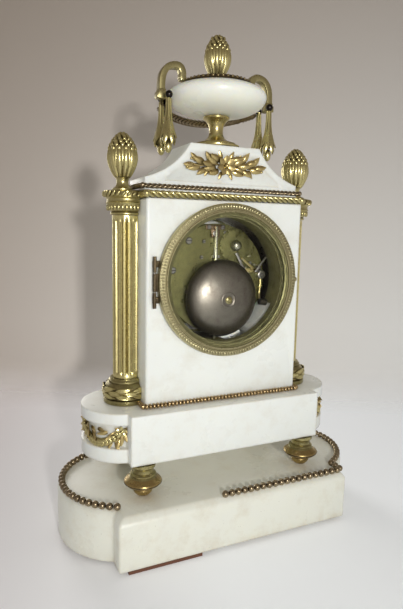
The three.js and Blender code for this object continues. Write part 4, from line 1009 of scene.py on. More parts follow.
def sink_panels(block):
    """Cuts a shallow panel with sloped sides in the block's rear and front faces."""
    outline = PANEL_EDGE + [(-x, z) for x, z in reversed(PANEL_EDGE)]
    rear = draw_line("panel_cutter", [(x, PANEL_FACE + PANEL_CLEAR, z) for x, z in [*outline, outline[0]]])
    bpy.ops.mesh.select_all(action="SELECT")
    bpy.ops.mesh.remove_doubles(threshold=CLOSE_MM * MM)
    bpy.ops.mesh.edge_face_add()
    depth = (PANEL_DEEP + PANEL_CLEAR) * MM
    bpy.ops.mesh.extrude_region_move(TRANSFORM_OT_translate={"value": (0, -depth, 0)})
    bpy.ops.transform.resize(value=PANEL_DRAW, center_override=(0, 0, PANEL_MIDDLE * MM))
    close_up()
    front = twin(rear, "panel_cutter_front", turn(180, "Z"))
    for cutter in (rear, front):
        apply_modifier(block, "BOOLEAN", operation="DIFFERENCE", object=cutter)
        bpy.data.objects.remove(cutter)
    smooth(block, 25)


class CLOCK_OT_marble(bpy.types.Operator):
    """Marble blocks of the plinths, the case and the pediment"""
    bl_idname = "clock.marble"
    bl_label = "Marble"

    def execute(self, context):
        for node in ("lower_plinth", "upper_plinth", "case_block", "pediment_block"):
            stone = from_node(node + "_stone", node, sizes().edge_round)
            if node == "pediment_block":
                sink_panels(stone)
            dress(stone, node, CASE, "marble_base" if node == "lower_plinth" else "marble")
        return {"FINISHED"}


# Turned feet: radius and height pairs of the body, the neck over it and the dark rim round it
FOOT_BODY = [(0, 0), (2.4, 0.15), (4.2, 0.9), (5.6, 2.4), (6.3, 4.3), (6.1, 5.2), (5.5, 5.8), (6.2, 6.4),
             (8.8, 7.1), (10.8, 7.9), (11.7, 8.9), (11.8, 9.7), (11.3, 10.5), (9.8, 11.5), (8.6, 12.6),
             (0, 12.6)]
FOOT_NECK = [(0, 12.6), (8.6, 12.6), (7.9, 13.4), (8.1, 13.9), (8.1, 14.5), (7.4, 15.1), (6.6, 15.6),
             (6.5, 18.0), (7.0, 18.8), (7.8, 19.4), (7.8, 20.9), (0, 20.9)]
FOOT_RIM = [(10.6, 8.1), (11.75, 8.9), (11.95, 9.3), (11.75, 9.75), (11.0, 10.5), (10.6, 8.1)]


class CLOCK_OT_feet(bpy.types.Operator):
    """Turned feet between the plinths"""
    bl_idname = "clock.feet"
    bl_label = "Feet"

    def execute(self, context):
        for node in ("foot_rear_left", "foot_rear_right", "foot_front_left", "foot_front_right"):
            centre = middle(node)
            place = move(centre.x, centre.y, node_box(node)[0].z)
            # The neck, under the upper plinth, takes the darker copy of the gilding: painted shade.
            foot = assembled(node + "_turned", *(
                (turned(node + part, profile, 48, place), finish) for part, profile, finish in (
                    ("_body", FOOT_BODY, "gilt_brown"), ("_neck", FOOT_NECK, "gilt_shaded"),
                    ("_rim", FOOT_RIM, "bronze_dark"))))
            dress(foot, node)
        return {"FINISHED"}


# Lower plinth's outline: half its width and depth, its round ends' centre and radius; how far in from it
# the beads lie and how high, and where the string starts at the back
BASE_HALF_W, BASE_HALF_D, BASE_END_X, BASE_END_R = 81, 53, 60, 46
BEADS_IN, BEADS_UP, BEADS_FROM = 2.7, 1.5, 12

# The case's beads stop short of the columns, and touch
CASE_BEADS_TO, CASE_BEADS_UP = 15.4, 0.2
CASE_BEAD_PITCH, CASE_BEAD_FLAT = 0.76, 0.74


def plinth_path(half_w, half_d, end_x, end_r):
    """Outline of a plinth with round ends, from the back round by the right to the left."""
    reach = math.acos((half_w - end_x) / end_r)
    def round_end(heading, centre):
        angles = [heading - reach + 2 * reach * i / 24 for i in range(25)]
        return [(centre + end_r * math.cos(a), end_r * math.sin(a)) for a in angles]
    right = round_end(math.pi, -end_x)
    left = round_end(0, end_x)
    return [(BEADS_FROM, half_d), (-half_w, half_d), *right, (-half_w, -half_d), (half_w, -half_d), *left]


class CLOCK_OT_beading(bpy.types.Operator):
    """Strings of beads on the lower plinth and round the foot of the case"""
    bl_idname = "clock.beading"
    bl_label = "Beading"

    def execute(self, context):
        across = sizes().base_bead
        top = node_box("lower_plinth")[1].z + BEADS_UP
        outline = plinth_path(BASE_HALF_W - BEADS_IN, BASE_HALF_D - BEADS_IN, BASE_END_X,
                              BASE_END_R - BEADS_IN)
        string = beads("lower_beads", [(x, y, top) for x, y in outline], across, across * 1.02)
        dress(string, "lower_plinth_beading", CASE, "bronze")
        across = sizes().case_bead
        low, high = node_box("case_block")
        out = across * 0.5 + 0.25
        z = low.z + across / 2 + CASE_BEADS_UP
        for node, side in (("case_beading_rear", 1), ("case_beading_front", -1)):
            corner, stop = side * (high.y + out), side * CASE_BEADS_TO
            points = [(high.x + out, stop, z), (high.x + out, corner, z),
                      (low.x - out, corner, z), (low.x - out, stop, z)]
            string = beads(node + "_beads", points, across, across * CASE_BEAD_PITCH, CASE_BEAD_FLAT)
            dress(string, node, finish="copper")
        return {"FINISHED"}


# Outline of a pine cone: how far up it, and its share of the widest radius there
CONE = [(0, 0.46), (0.1, 0.66), (0.2, 0.82), (0.3, 0.93), (0.4, 0.99), (0.5, 0.98), (0.6, 0.92), (0.7, 0.81),
        (0.8, 0.65), (0.9, 0.43), (0.96, 0.26), (1.0, 0.0)]

# Petals of a cone: share of the radius they lie at, how far up each row is, half its width, first angle
CONE_PETALS = 12
OUTER_PETALS = (0.93, (0.0, 0.1, 0.2, 0.3, 0.4, 0.5, 0.58, 0.64),
                (0.09, 0.14, 0.18, 0.205, 0.21, 0.19, 0.13, 0.03), 0)
INNER_PETALS = (0.90, (0.22, 0.34, 0.46, 0.58, 0.68, 0.76, 0.82),
                (0.04, 0.10, 0.15, 0.17, 0.15, 0.10, 0.02), 15)

# Rows of small scales over the petals: how far up, their count, the first one's angle and their size
CONE_SCALES = ((0.63, 12, 0, 1.0), (0.71, 12, 15, 1.0), (0.785, 11, 0, 0.95), (0.85, 10, 18, 0.9),
               (0.905, 8, 0, 0.85), (0.945, 6, 20, 0.8), (0.98, 3, 0, 0.75))
CONE_TIP = 0.93

# Cones: the widest radius, and the height, radius and neck of the foot
COLUMN_CONE = (9.1, 8.0, 6.4, 3.6)
URN_CONE = (8.3, 3.0, 6.0, 4.0)


def cone_share(up):
    for (low, first), (high, second) in zip(CONE, CONE[1:]):
        if up <= high:
            return first + (second - first) * (up - low) / (high - low)
    return 0.0


def pine_cone(name, height, radius, foot, foot_r, neck_r):
    """A cone of narrow ridged petals below and small pointed scales above, on a waisted foot."""
    body = height - foot
    def on_shell(up, share):
        return max(neck_r, radius * share * cone_share(up)), foot + body * up
    stand = turned(name + "_foot", [
        (0, 0), (foot_r, 0), (foot_r, foot * 0.10), (foot_r * 0.82, foot * 0.2), (neck_r * 1.15, foot * 0.34),
        (neck_r, foot * 0.55), (neck_r * 1.06, foot * 0.8), (neck_r * 1.3, foot * 0.96), (0, foot)], 32)
    rounds = [(radius * 0.84 * cone_share(i / 12), foot + body * i / 12) for i in range(12)]
    core = turned(name + "_core", [(0, foot), *rounds, (0, foot + body * 0.97)], 32)
    rows = []
    for part, (share, ups, halves, start) in (("petal", OUTER_PETALS), ("inner", INNER_PETALS)):
        path = [on_shell(up, share) for up in ups]
        scale = petal(name + "_" + part, path, [radius * half for half in halves], radius * 0.12)
        rows.append(copies(name + "_" + part + "s", scale, round_z(CONE_PETALS, start)))
    places = []
    for up, count, start, grow in CONE_SCALES:
        out, up_z = on_shell(up, 0.95)
        if up > CONE_TIP:
            out = radius * 0.95 * cone_share(up)
        places += [place @ move(out, 0, up_z) @ grown(grow) for place in round_z(count, start)]
    scales = copies(name + "_berries", ball("berry", radius * 0.34, 6, 8, (1, 1, 1.35)), places)
    # The core between the petals is in dark bronze, painted shade in the gaps; the petals and scales take the
    # lighter copy of the gilding, painted light.
    bright = [(row, "gilt_lit") for row in (*rows, scales)]
    return assembled(name, (stand, "gilt"), (core, "bronze"), *bright)


class CLOCK_OT_finials(bpy.types.Operator):
    """Pine cones on the columns and on the urn"""
    bl_idname = "clock.finials"
    bl_label = "Pine cones"

    def execute(self, context):
        for node, measures in (("column_finial_left", COLUMN_CONE), ("column_finial_right", COLUMN_CONE),
                               ("urn_finial", URN_CONE)):
            low, high = node_box(node)
            cone = pine_cone(node + "_cone", high.z - low.z, *measures)
            centre = middle(node)
            cone.data.transform(move(centre.x, centre.y, low.z))
            dress(cone, node)
        return {"FINISHED"}


# Columns: how far the axis stands out from the case, the radii of the shaft, base and capital, the
# flutes' depth, the height of the capital's roped edge, and the base's pairs of laurel leaves
COLUMN_OUT, SHAFT_R, BASE_R, FLUTE_DEEP, ROPED_EDGE, LAUREL_PAIRS = 6.5, 8.4, 14.6, 1.15, 4.6, 8

# How deep a flute is at each point across it, as a share, and at each level up the shaft
FLUTE_ACROSS = (0, 0.0, 0.72, 1.0, 0.72, 0.0)
FLUTE_UP = (0, 0, 0.75, 1, 1, 0.75, 0, 0)
FLUTE_LEVELS = (0, 1.6, 3.0, 4.2)

# Base's profile: how far in from the base's radius, and the share of its height
BASE_PROFILE = [(0.0, 0.18), (0.3, 0.2), (1.3, 0.22), (1.5, 0.25), (1.1, 0.32), (0.6, 0.40), (0.4, 0.5),
                (0.6, 0.6), (1.2, 0.69), (2.2, 0.76), (3.0, 0.79), (3.6, 0.82), (3.4, 0.86), (3.5, 0.9),
                (4.2, 0.93), (4.6, 1.0)]


def cut_back(piece, x_mm):
    """Cuts a piece flat where it stands against the case, and keeps the part beyond."""
    make_active(piece)
    bpy.ops.object.mode_set(mode="EDIT")
    bpy.ops.mesh.select_all(action="SELECT")
    bpy.ops.mesh.bisect(plane_co=(x_mm * MM, 0, 0), plane_no=(1, 0, 0), use_fill=True, clear_inner=True)
    bpy.ops.object.mode_set(mode="OBJECT")
    smooth(piece)


def fluted_shaft(radius, low, high, flutes, depth):
    deselect()
    per_flute = len(FLUTE_ACROSS)
    around = flutes * per_flute
    bpy.ops.mesh.primitive_circle_add(vertices=around, radius=radius * MM)
    piece = named("shaft")
    bpy.ops.object.mode_set(mode="EDIT")
    bpy.ops.mesh.select_all(action="SELECT")
    levels = [*(low + step for step in FLUTE_LEVELS), *(high - step for step in reversed(FLUTE_LEVELS))]
    bpy.ops.transform.translate(value=(0, 0, low * MM))
    for below, level in zip(levels, levels[1:]):
        bpy.ops.mesh.extrude_region_move(TRANSFORM_OT_translate={"value": (0, 0, (level - below) * MM)})
    bpy.ops.object.mode_set(mode="OBJECT")
    for index, vertex in enumerate(piece.data.vertices):
        row, column = divmod(index, around)
        angle = math.tau * column / around
        r = radius - depth * FLUTE_ACROSS[column % per_flute] * FLUTE_UP[row]
        vertex.co = Vector((r * math.cos(angle), r * math.sin(angle), levels[row])) * MM
    return piece


def column_base(height, radius):
    """A turned base with a wreath of laurel leaves round its torus."""
    profile = [(0, 0.3), (radius - 0.2, 0.3), (radius, 0.6),
               *((radius - x, height * z) for x, z in BASE_PROFILE), (0, height)]
    # The core under the leaves takes the darker copy of the gilding, painted shade; the leaves take the
    # lighter copy, painted light.
    pieces = [painted(turned("base_core", profile, 64), "gilt_shaded")]
    for name, rise, start in (("laurel_up", 2.3, 0), ("laurel_down", -2.3, 0),
                              ("laurel_mid", 0.0, 180 / LAUREL_PAIRS)):
        blade = wreath_leaf(name, radius - 0.6, 11.5, 3.7, rise)
        blade.data.transform(move(0, 0, height * 0.49 + rise * 0.35))
        pieces.append(painted(copies(name + "_row", blade, round_z(LAUREL_PAIRS, start)), "gilt_lit"))
    return joined("base", pieces)


def column_capital(low, shaft_r, top_r, bell, rope):
    """A capital of tongues between plain fillets under a roped edge."""
    rope_low = low + bell
    waist = top_r - 3.6
    profile = [(0, low), *((shaft_r + x, low + z) for x, z in (
        (0.5, 0), (1.0, 0.4), (1.1, 1.0), (0.8, 1.6), (0.5, 1.9), (1.2, 2.5)))]
    profile += [(waist + x, low + z) for x, z in (
        (0, 3.6), (0.5, 5.6), (0.9, 6.6), (1.3, 6.8), (1.4, 7.2), (1.0, 7.6), (0.7, 8.2))]
    profile += [(waist + 0.7, rope_low - 0.6), (waist + 1.4, rope_low + 0.2), (top_r - 1.6, rope_low + 0.5),
                (top_r - 1.6, rope_low + rope * 0.8), (top_r - 2.8, rope_low + rope), (0, rope_low + rope)]
    core = turned("capital_core", profile, 64)
    tongue = ball("tongue", 2.0, 8, 8, (1.0, 2.0, 0.75))
    tongues = ring_of("tongues", tongue, 28, waist + 0.35, low + 4.6)
    strand = ball("edge_strand", rope * 0.72, 6, 8, (0.62, 1.5, 0.8))
    edge = ring_of("rope_edge", strand, 26, top_r - 1.3, rope_low + rope * 0.52, -42)
    return joined("capital", [core, tongues, edge])


class CLOCK_OT_columns(bpy.types.Operator):
    """Fluted columns with their bases and capitals"""
    bl_idname = "clock.columns"
    bl_label = "Columns"

    def execute(self, context):
        case_low, case_high = node_box("case_block")
        face = case_high.x + MOUNT_GAP
        shaft_low, shaft_high = (corner.z for corner in node_box("column_shaft_left"))
        capital_low = node_box("column_capital_left")[0].z
        base = column_base(node_box("column_base_left")[1].z - case_low.z, BASE_R)
        base.data.transform(move(0, 0, case_low.z))
        shaft = fluted_shaft(SHAFT_R, shaft_low, shaft_high, sizes().flutes, FLUTE_DEEP)
        painted(shaft, "gilt_fluted")
        capital = column_capital(capital_low, SHAFT_R, BASE_R, case_high.z - capital_low, ROPED_EDGE)
        painted(capital, "gilt")
        for part, piece, gap in (("base", base, 0), ("shaft", shaft, 0), ("capital", capital, 0.2)):
            piece.data.transform(move(case_high.x + COLUMN_OUT, 0, 0))
            cut_back(piece, face + gap)
            other = twin(piece, part + "_other", turn(180, "Z"))
            for side, half in (("left", piece), ("right", other)):
                node = "column_%s_%s" % (part, side)
                half.name = node + "_mount"
                dress(half, node)
        return {"FINISHED"}


class CLOCK_OT_ropes(bpy.types.Operator):
    """Twisted ropes of the cornice and round the foot of the pediment"""
    bl_idname = "clock.ropes"
    bl_label = "Ropes"

    def execute(self, context):
        for node, pitch, hand, slot, finish in (
                ("cornice_rope", sizes().cornice_pitch, 1, "gilt", "gilt"),
                ("pediment_rope", sizes().pediment_pitch, -1, "dark_bronze", "bronze")):
            low, high = node_box(node)
            across = high.z - low.z
            loop = rope_loop(node + "_twist", high.x - across / 2, high.y - across / 2, (low.z + high.z) / 2,
                             across * 1.04, pitch, hand)
            dress(loop, node, CASE, finish)
        return {"FINISHED"}


# Urn: profiles of its foot and collar, and the bowl's rounding: inner and outer radius, belly and rise
URN_FOOT = [(0, 0.1), (15.4, 0.1), (15.6, 0.5), (15.6, 1.3), (15.2, 1.7), (13.6, 1.9), (13.2, 2.3),
            (13.0, 2.9), (11.4, 3.4), (8.6, 4.2), (6.3, 5.6), (5.0, 7.6), (4.5, 10), (4.6, 12.4),
            (5.2, 14.6), (6.6, 16.6), (8.0, 17.8), (8.6, 18.4), (8.6, 19.6), (0, 19.6)]
COLLAR = [(0, 0), (22.4, 0), (22.8, 0.5), (22.4, 1.1), (21.0, 1.5), (20.2, 2.4), (16, 2.9), (0, 3.1)]
BOWL_IN, BOWL_OUT, BOWL_BELLY, BOWL_RISE, BOWL_SHOULDER = 8.4, 32.4, 11.6, 7.0, 55.5
BOWL_MOUTH_R, BOWL_TOP = 21.4, 18.6

# Handle's path from the collar: X, and Z over the collar's foot
HANDLE_WAY = [(24.2, 0.8), (25.0, 2.6), (24.6, 5.0), (26.2, 8.6), (30.2, 9.2), (35.2, 7.4), (38.2, 2.6),
              (38.8, -3.0), (38.8, -8.6)]

# Hanging husks: their length, and where they hang from the urn's axis; the swag between them, on the far side
DROP_LONG, DROP_X, DROP_Y = 35.0, 36, 6.4
DROP_STALK = [(0, 0.6), (1.4, 0.4), (1.6, -1.2), (1.0, -2.6), (1.0, -8), (1.3, -13), (2.0, -18),
              (2.4, -24), (0, -28)]
DROP_REED = [(1.1, -2.2), (1.2, -7), (1.5, -12), (2.1, -16.5), (3.1, -20.5), (4.2, -24.0), (5.0, -26.2)]
DROP_INNER = [(1.8, -16), (2.6, -20), (3.7, -24), (4.3, -27.5), (3.7, -30)]
SWAG_HALF, SWAG_NEAR, SWAG_OUT, SWAG_LOW, SWAG_HANG, SWAG_STEPS, SWAG_LEAF = 34, 7.5, 24, 2.4, 5.2, 24, 7.0


def husk_drop(name, length):
    """A hanging husk: a reeded stalk that opens into a flower with a pointed bud."""
    stalk = turned(name + "_stalk", DROP_STALK, 24)
    reed = petal(name + "_reed", DROP_REED, [0.5, 0.5, 0.65, 1.1, 1.8, 1.5, 0.3], 0.5)
    reeds = copies(name + "_reeds", reed, round_z(5))
    inner = petal(name + "_inner", DROP_INNER, [0.7, 1.5, 2.0, 1.5, 0.2], 0.5)
    inners = copies(name + "_inners", inner, round_z(5, 36))
    bud = ball(name + "_bud", 4.8, 10, 14, (1, 1, 1.7))
    bud.data.transform(move(0, 0, -length + 4.1))
    # The stalk inside the reeds takes the darker copy of the gilding, painted shade; the bud takes the lighter
    # copy, painted light.
    return assembled(name, (stalk, "gilt_shaded"), (reeds, "gilt"), (inners, "gilt"), (bud, "gilt_lit"))


def laurel_swag(name, points, leaf_length):
    """A garland of overlapping leaves along a line that hangs in front of the bowl."""
    blade = leaf(name + "_leaf", leaf_length, leaf_length * 0.5, 0.5, 0.3)
    places = [move(*spot) @ pointing(ahead, "Y", "Z") @ turn(roll, "Y") @ turn(24, "X")
              for spot, ahead in walk(points, leaf_length * 0.42) for roll in (0, 120, 240)]
    return copies(name, blade, places)


class CLOCK_OT_urn(bpy.types.Operator):
    """Marble urn with its foot, collar, handles, drops and garland"""
    bl_idname = "clock.urn"
    bl_label = "Urn"

    def execute(self, context):
        foot = turned("urn_foot_turned", URN_FOOT, 72, move(0, 0, node_box("urn_foot")[0].z))
        dress(foot, "urn_foot", finish="brass_polished")
        wide = BOWL_OUT - BOWL_IN
        under = arc_oval(BOWL_IN, BOWL_BELLY, wide, BOWL_BELLY, -90, 0, 18)
        rise = BOWL_RISE / math.sin(math.radians(BOWL_SHOULDER))
        over = arc_oval(BOWL_IN, BOWL_BELLY, wide, rise, 0, BOWL_SHOULDER, 12)
        profile = [(0, 0), *under, *over[1:], (BOWL_MOUTH_R, BOWL_TOP), (0, BOWL_TOP)]
        bowl = turned("urn_bowl_turned", profile, 96, move(0, 0, node_box("urn_bowl")[0].z))
        dress(bowl, "urn_bowl", CASE, "alabaster")
        self.collar()
        self.handles()
        self.drops()
        return {"FINISHED"}

    def collar(self):
        core = turned("collar_core", COLLAR, 64)
        rail = ring_of("collar_beads", ball("collar_bead", 2.0, 6, 8, (1.1, 1.0, 0.8)), 44, 22.0, 1.2)
        blade = leaf("collar_leaf", 4.6, 3.0, 0.7, 0.5)
        leaves = copies("collar_leaves", blade, [place @ move(0, 16.4, 2.8) @ turn(-14, "X")
                                                 for place in round_z(26)])
        piece = assembled("urn_collar_mount", (core, "bronze_dark"), (rail, "bronze_gold"),
                          (leaves, "bronze_gold"))
        piece.data.transform(move(0, 0, node_box("urn_collar")[0].z))
        dress(piece, "urn_collar", CASE)

    def handles(self):
        low = node_box("urn_handle_left")[0].z
        collar = node_box("urn_collar")[0].z
        arm = scroll_handle("handle_arm", [(x, collar + z) for x, z in HANDLE_WAY], 3.9, 5.6)
        block = bar("handle_block", (36.4, -3.1, low + 0.2), (41.0, 3.1, low + 6.2), 0.4)
        lip = bar("handle_lip", (36.0, -2.9, low + 0.4), (42.0, 2.9, low + 4.4), 0.4)
        toe = bar("handle_toe", (22.6, -2.6, collar + 0.1), (26.6, 2.6, collar + 2.4), 0.5)
        handle = joined("urn_handle_left_bar", [arm, block, lip, toe])
        other = twin(handle, "urn_handle_right_bar", turn(180, "Z"))
        for piece, node in ((handle, "urn_handle_left"), (other, "urn_handle_right")):
            dress(piece, node, CASE, "brass")

    def drops(self):
        """Two husks at the back; two more at the front make one piece with the swag between them."""
        screw_z = node_box("urn_drop_left")[0].z + DROP_LONG
        drop = husk_drop("drop", DROP_LONG)
        knob = ball("drop_screw", 4.7, 10, 14)
        knob.data.transform(move(0, 0.6, 0))
        whole = joined("drop_with_screw", [drop, painted(knob, "black")])
        points = []
        for i in range(SWAG_STEPS + 1):
            along = 2 * i / SWAG_STEPS - 1
            hang = 1 - along * along
            out = SWAG_NEAR + SWAG_OUT * math.sqrt(hang)
            points.append((along * SWAG_HALF, -out, screw_z - SWAG_LOW - SWAG_HANG * hang))
        swag = painted(laurel_swag("swag", points, SWAG_LEAF), "bronze")
        fronts = []
        for node, sign in (("urn_drop_left", 1), ("urn_drop_right", -1)):
            dress(twin(whole, node + "_husk", move(sign * DROP_X, DROP_Y, screw_z)), node)
            fronts.append(twin(whole, "front_drop", move(sign * DROP_X, -DROP_Y, screw_z) @ turn(180, "Z")))
        bpy.data.objects.remove(whole)
        dress(joined("urn_garland_mount", [swag, *fronts]), "urn_garland", CASE)


# Leaves of the pediment's spray: where each grows, which way it points, its length and its curl
SPRAY = [(-6, 1, 62, 9, 1.4), (-7, -1, 100, 9, 0.6), (-10, 2, 40, 8, 1.8), (-14, -2, 125, 8, 0.8),
         (-15, 1, 70, 9, 1.2), (-18, -1, 105, 9, 0.6), (-20, 2, 48, 7, 1.6), (-22, -1, 86, 8, 1.0),
         (-12, -2, 150, 6, 0.8), (6, 1, -58, 9, 1.4), (7, -1, -105, 8, 0.6), (11, 2, -35, 9, 1.8),
         (12, -2, -120, 8, 0.8), (15, 1, -66, 9, 1.2), (18, -1, -100, 9, 0.8), (19, 1, -40, 8, 1.6),
         (21, -1, -78, 9, 1.0), (16, -2, -145, 6, 0.8), (-3, 4, 20, 6, 1.2), (3, 4, -24, 6, 1.2),
         (-3, -4, 160, 5, 0.8), (3, -4, -160, 5, 0.8), (-4, 3, 66, 9, 1.6), (4, 3, -70, 9, 1.6),
         (-5, -3, 112, 8, 1.0), (5, -3, -110, 8, 1.0), (-9, 0, 82, 9, 2.0), (9, 0, -84, 9, 2.0),
         (-8, 3, 30, 5, 2.2), (8, 3, -28, 5, 2.2)]
SPRAY_STEM = [(2, 0, 0.8), (10, 1.6, 1.2), (18, -1.4, 1.2), (25, 0.6, 0.8)]
SPRAY_BERRIES = [(-9, 4.6), (-24, 3.2), (9.5, 5.0), (23, 4.0), (-11, -4.6), (13, -4.8), (26.5, -2.2),
                 (-27, -2.4)]

# Frieze: centre and radius of the recess in a round end, how far round the swags reach in degrees, the
# heights over the plinth's foot that they hang from and hang to, and the husks in each
FRIEZE_X, FRIEZE_R, FRIEZE_REACH, FRIEZE_RISE, FRIEZE_FALL, FRIEZE_HUSKS = 62.5, 24.8, 70, 20.5, 11.6, 13

# Leaves along a swag: how far round, how far under its ends, which way they point and their size
FRIEZE_LEAVES = ((6, 0, -95, 1.1), (8, 2, -118, 1.2), (6, 3, -140, 1.1), (20, 1, -100, 1.1),
                 (22, 3, -125, 1.1), (34, 1, -80, 0.9), (64, 2, 118, 1.1), (60, 4, 140, 1.0),
                 (50, 2, 100, 0.9), (68, 5, 165, 1.1), (62, 7, 200, 0.9), (56, 7, 160, 0.8))

# Leaves round each flower of the frieze: which way they point and their size
FLOWER_LEAVES = ((150, 1.0), (-150, 1.0), (100, 0.9), (-100, 0.9), (55, 0.7), (-55, 0.7), (180, 1.2))


def rosette(name, across, petals):
    blade = leaf(name + "_petal", across * 0.46, across * 0.36, 0.7, 0.3)
    ring = copies(name + "_ring", blade, [place @ turn(14, "X") for place in round_z(petals)])
    heart = ball(name + "_heart", across * 0.2, 6, 8)
    heart.data.transform(move(0, 0, 0.9))
    return joined(name, [ring, heart])


class CLOCK_OT_sprays(bpy.types.Operator):
    """Cast flower sprays on the pediment and garlands in the frieze"""
    bl_idname = "clock.sprays"
    bl_label = "Sprays"

    def execute(self, context):
        self.pediment()
        self.frieze()
        return {"FINISHED"}

    def pediment(self):
        blade = leaf("spray_leaf", 1.0, 0.5, 0.14, 0.0, 0.08)
        leaves = copies("spray_leaves", blade, [
            move(x, y, 0.5) @ turn(heading, "Z") @ turn(curl * 9, "X") @ grown(length)
            for x, y, heading, length, curl in SPRAY])
        stems = [stem("spray_stem", [(sign * x, y, z) for x, y, z in SPRAY_STEM], 0.55) for sign in (1, -1)]
        berries = copies("spray_berries", ball("spray_berry", 1.9, 6, 8),
                         [move(x, y, 1.0) for x, y in SPRAY_BERRIES])
        flower = rosette("spray_flower", 15, 7)
        flower.data.transform(move(0, 0, 1.0))
        spray = joined("spray", [leaves, *stems, berries, flower])
        for node, side in (("pediment_mount_rear", 1), ("pediment_mount_front", -1)):
            low, high = node_box(node)
            centre = middle(node)
            floor = (low.y if side > 0 else high.y) - side * PANEL_DEEP
            mount = twin(spray, node + "_spray", facing((centre.x, floor, centre.z), (0, side, 0)))
            dress(mount, node, finish="gilt_warm")
        bpy.data.objects.remove(spray)

    def frieze(self):
        """Two hanging swags of husks in the recess of each end, with leaves and flowers where they rise."""
        base = node_box("upper_plinth")[0].z
        rise_z, fall_z = base + FRIEZE_RISE, base + FRIEZE_FALL
        husk = ball("frieze_husk", 3.5, 6, 8, (0.9, 1.3, 0.8))
        flower = rosette("frieze_flower", 8.5, 5)
        blade = leaf("frieze_leaf", 7.5, 3.2, 0.7, 1.1)
        def spot(angle, z, lift=0.5):
            out = (math.cos(math.radians(angle)), math.sin(math.radians(angle)), 0)
            return (FRIEZE_X + (FRIEZE_R + lift) * out[0], (FRIEZE_R + lift) * out[1], z), out
        husks, flowers, blades = [], [], []
        for side in (1, -1):
            for i in range(FRIEZE_HUSKS + 1):
                share = i / FRIEZE_HUSKS
                z = rise_z - (rise_z - fall_z) * math.sin(math.pi * share) ** 0.8
                slope = (fall_z - rise_z) * math.pi * math.cos(math.pi * share)
                onward = math.degrees(math.atan2(-side * math.radians(FRIEZE_REACH) * FRIEZE_R, slope))
                grow = 0.8 + 0.35 * math.sin(math.pi * share)
                place = facing(*spot(side * FRIEZE_REACH * share, z, 0.9), onward)
                for pair in (-1, 1):
                    husks.append(place @ move(pair * 0.9, 0, 0.4) @ turn(pair * 28, "Z") @ grown(grow))
            for angle, drop, heading, grow in FRIEZE_LEAVES:
                blades.append(facing(*spot(side * angle, rise_z - drop), side * heading, grow) @ turn(8, "X"))
        for angle in (-FRIEZE_REACH, 0, FRIEZE_REACH):
            flowers.append(facing(*spot(angle, rise_z - 0.6, 1.3)))
            for heading, grow in FLOWER_LEAVES:
                blades.append(facing(*spot(angle, rise_z - 1.2), heading, grow))
        # Husks and flowers take the lighter copy of the gilding: painted highlight.
        garland = assembled(
            "frieze_garland_left_husks", (copies("frieze_husks", husk, husks), "gilt_lit"),
            (copies("frieze_flowers", flower, flowers), "gilt_lit"),
            (copies("frieze_leaves", blade, blades), "gilt_warm"))
        other = twin(garland, "frieze_garland_right_husks", turn(180, "Z"))
        dress(garland, "frieze_garland_left")
        dress(other, "frieze_garland_right")


# Doors: radii of the rim and of its opening, the ribs round it, and the radius inside which it is dull
RIM_OUT, RIM_IN, RIBS, RIM_DULL = 49.0, 41.0, 150, 43.0

# Rim's profile: how far in from its outer radius, and how far under its face
RIM_PROFILE = [(0, 2.0), (0.5, 1.3), (3.6, 1.0), (4.0, 1.5), (4.6, 1.5), (4.9, 1.0), (5.5, 1.0),
               (5.8, 1.7), (6.4, 1.9), (6.6, 2.4)]

# Hinge: half the door's knuckle, where the case's two start and end, their leaves' middle and half height,
# and the radii of the knuckles and of the pin
DOOR_KNUCKLE, CASE_KNUCKLE, LEAF_MIDDLE, LEAF_HALF, KNUCKLE_R, PIN_R = 5.6, (6.2, 15.8), 11, 2.0, 1.1, 0.75

# Sleeve in the bore: radii of the ring and its flange; the linings' start and sweep in degrees, which
# leave the marble bare where it shows under the bell
RING_IN, RING_OUT, FLANGE_R = 40.2, 41.2, 46
LINING_START, LINING_SWEEP, LINING_STEPS, LINING_END, DEEP_END = 95, 300, 108, -15.6, -36


def frame_hinge(name):
    """The hinge line's depth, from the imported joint."""
    for joint in frame["record"]["behaviour"]["joints"]:
        if joint["name"] == name + "_door_hinge":
            return joint["pos_m"][1] / MM
    raise RuntimeError("no hinge for the %s door" % name)


def tube_profile(inner, outer, low, high):
    return [(inner, low), (inner, high), (outer, high), (outer, low), (inner, low)]


def ribbed_rim(name, depth):
    """A door rim turned about Z, with a ribbed band round its outer edge."""
    profile = [(RIM_IN + 1.2, 0), (RIM_OUT - 0.8, 0), (RIM_OUT, 0.8),
               *((RIM_OUT - x, depth - z) for x, z in RIM_PROFILE),
               (RIM_IN, depth - 3.0), (RIM_IN, depth - 3.4), (RIM_IN + 1.2, depth - 3.6), (RIM_IN + 1.2, 0)]
    core = painted(painted(turned(name + "_core", profile, 128), "gilt_pale"), "sleeve")
    for face in core.data.polygons:
        if face.center.xy.length < RIM_DULL * MM:
            face.material_index = 1
    rib = painted(ball(name + "_rib", 1.0, 6, 6, (1.25, 3.3, 1.1)), "gilt_pale")
    places = [place @ move(0, RIM_OUT - 2.0, depth - 1.05) for place in round_z(RIBS)]
    return joined(name, [core, copies(name + "_ribs", rib, places)])


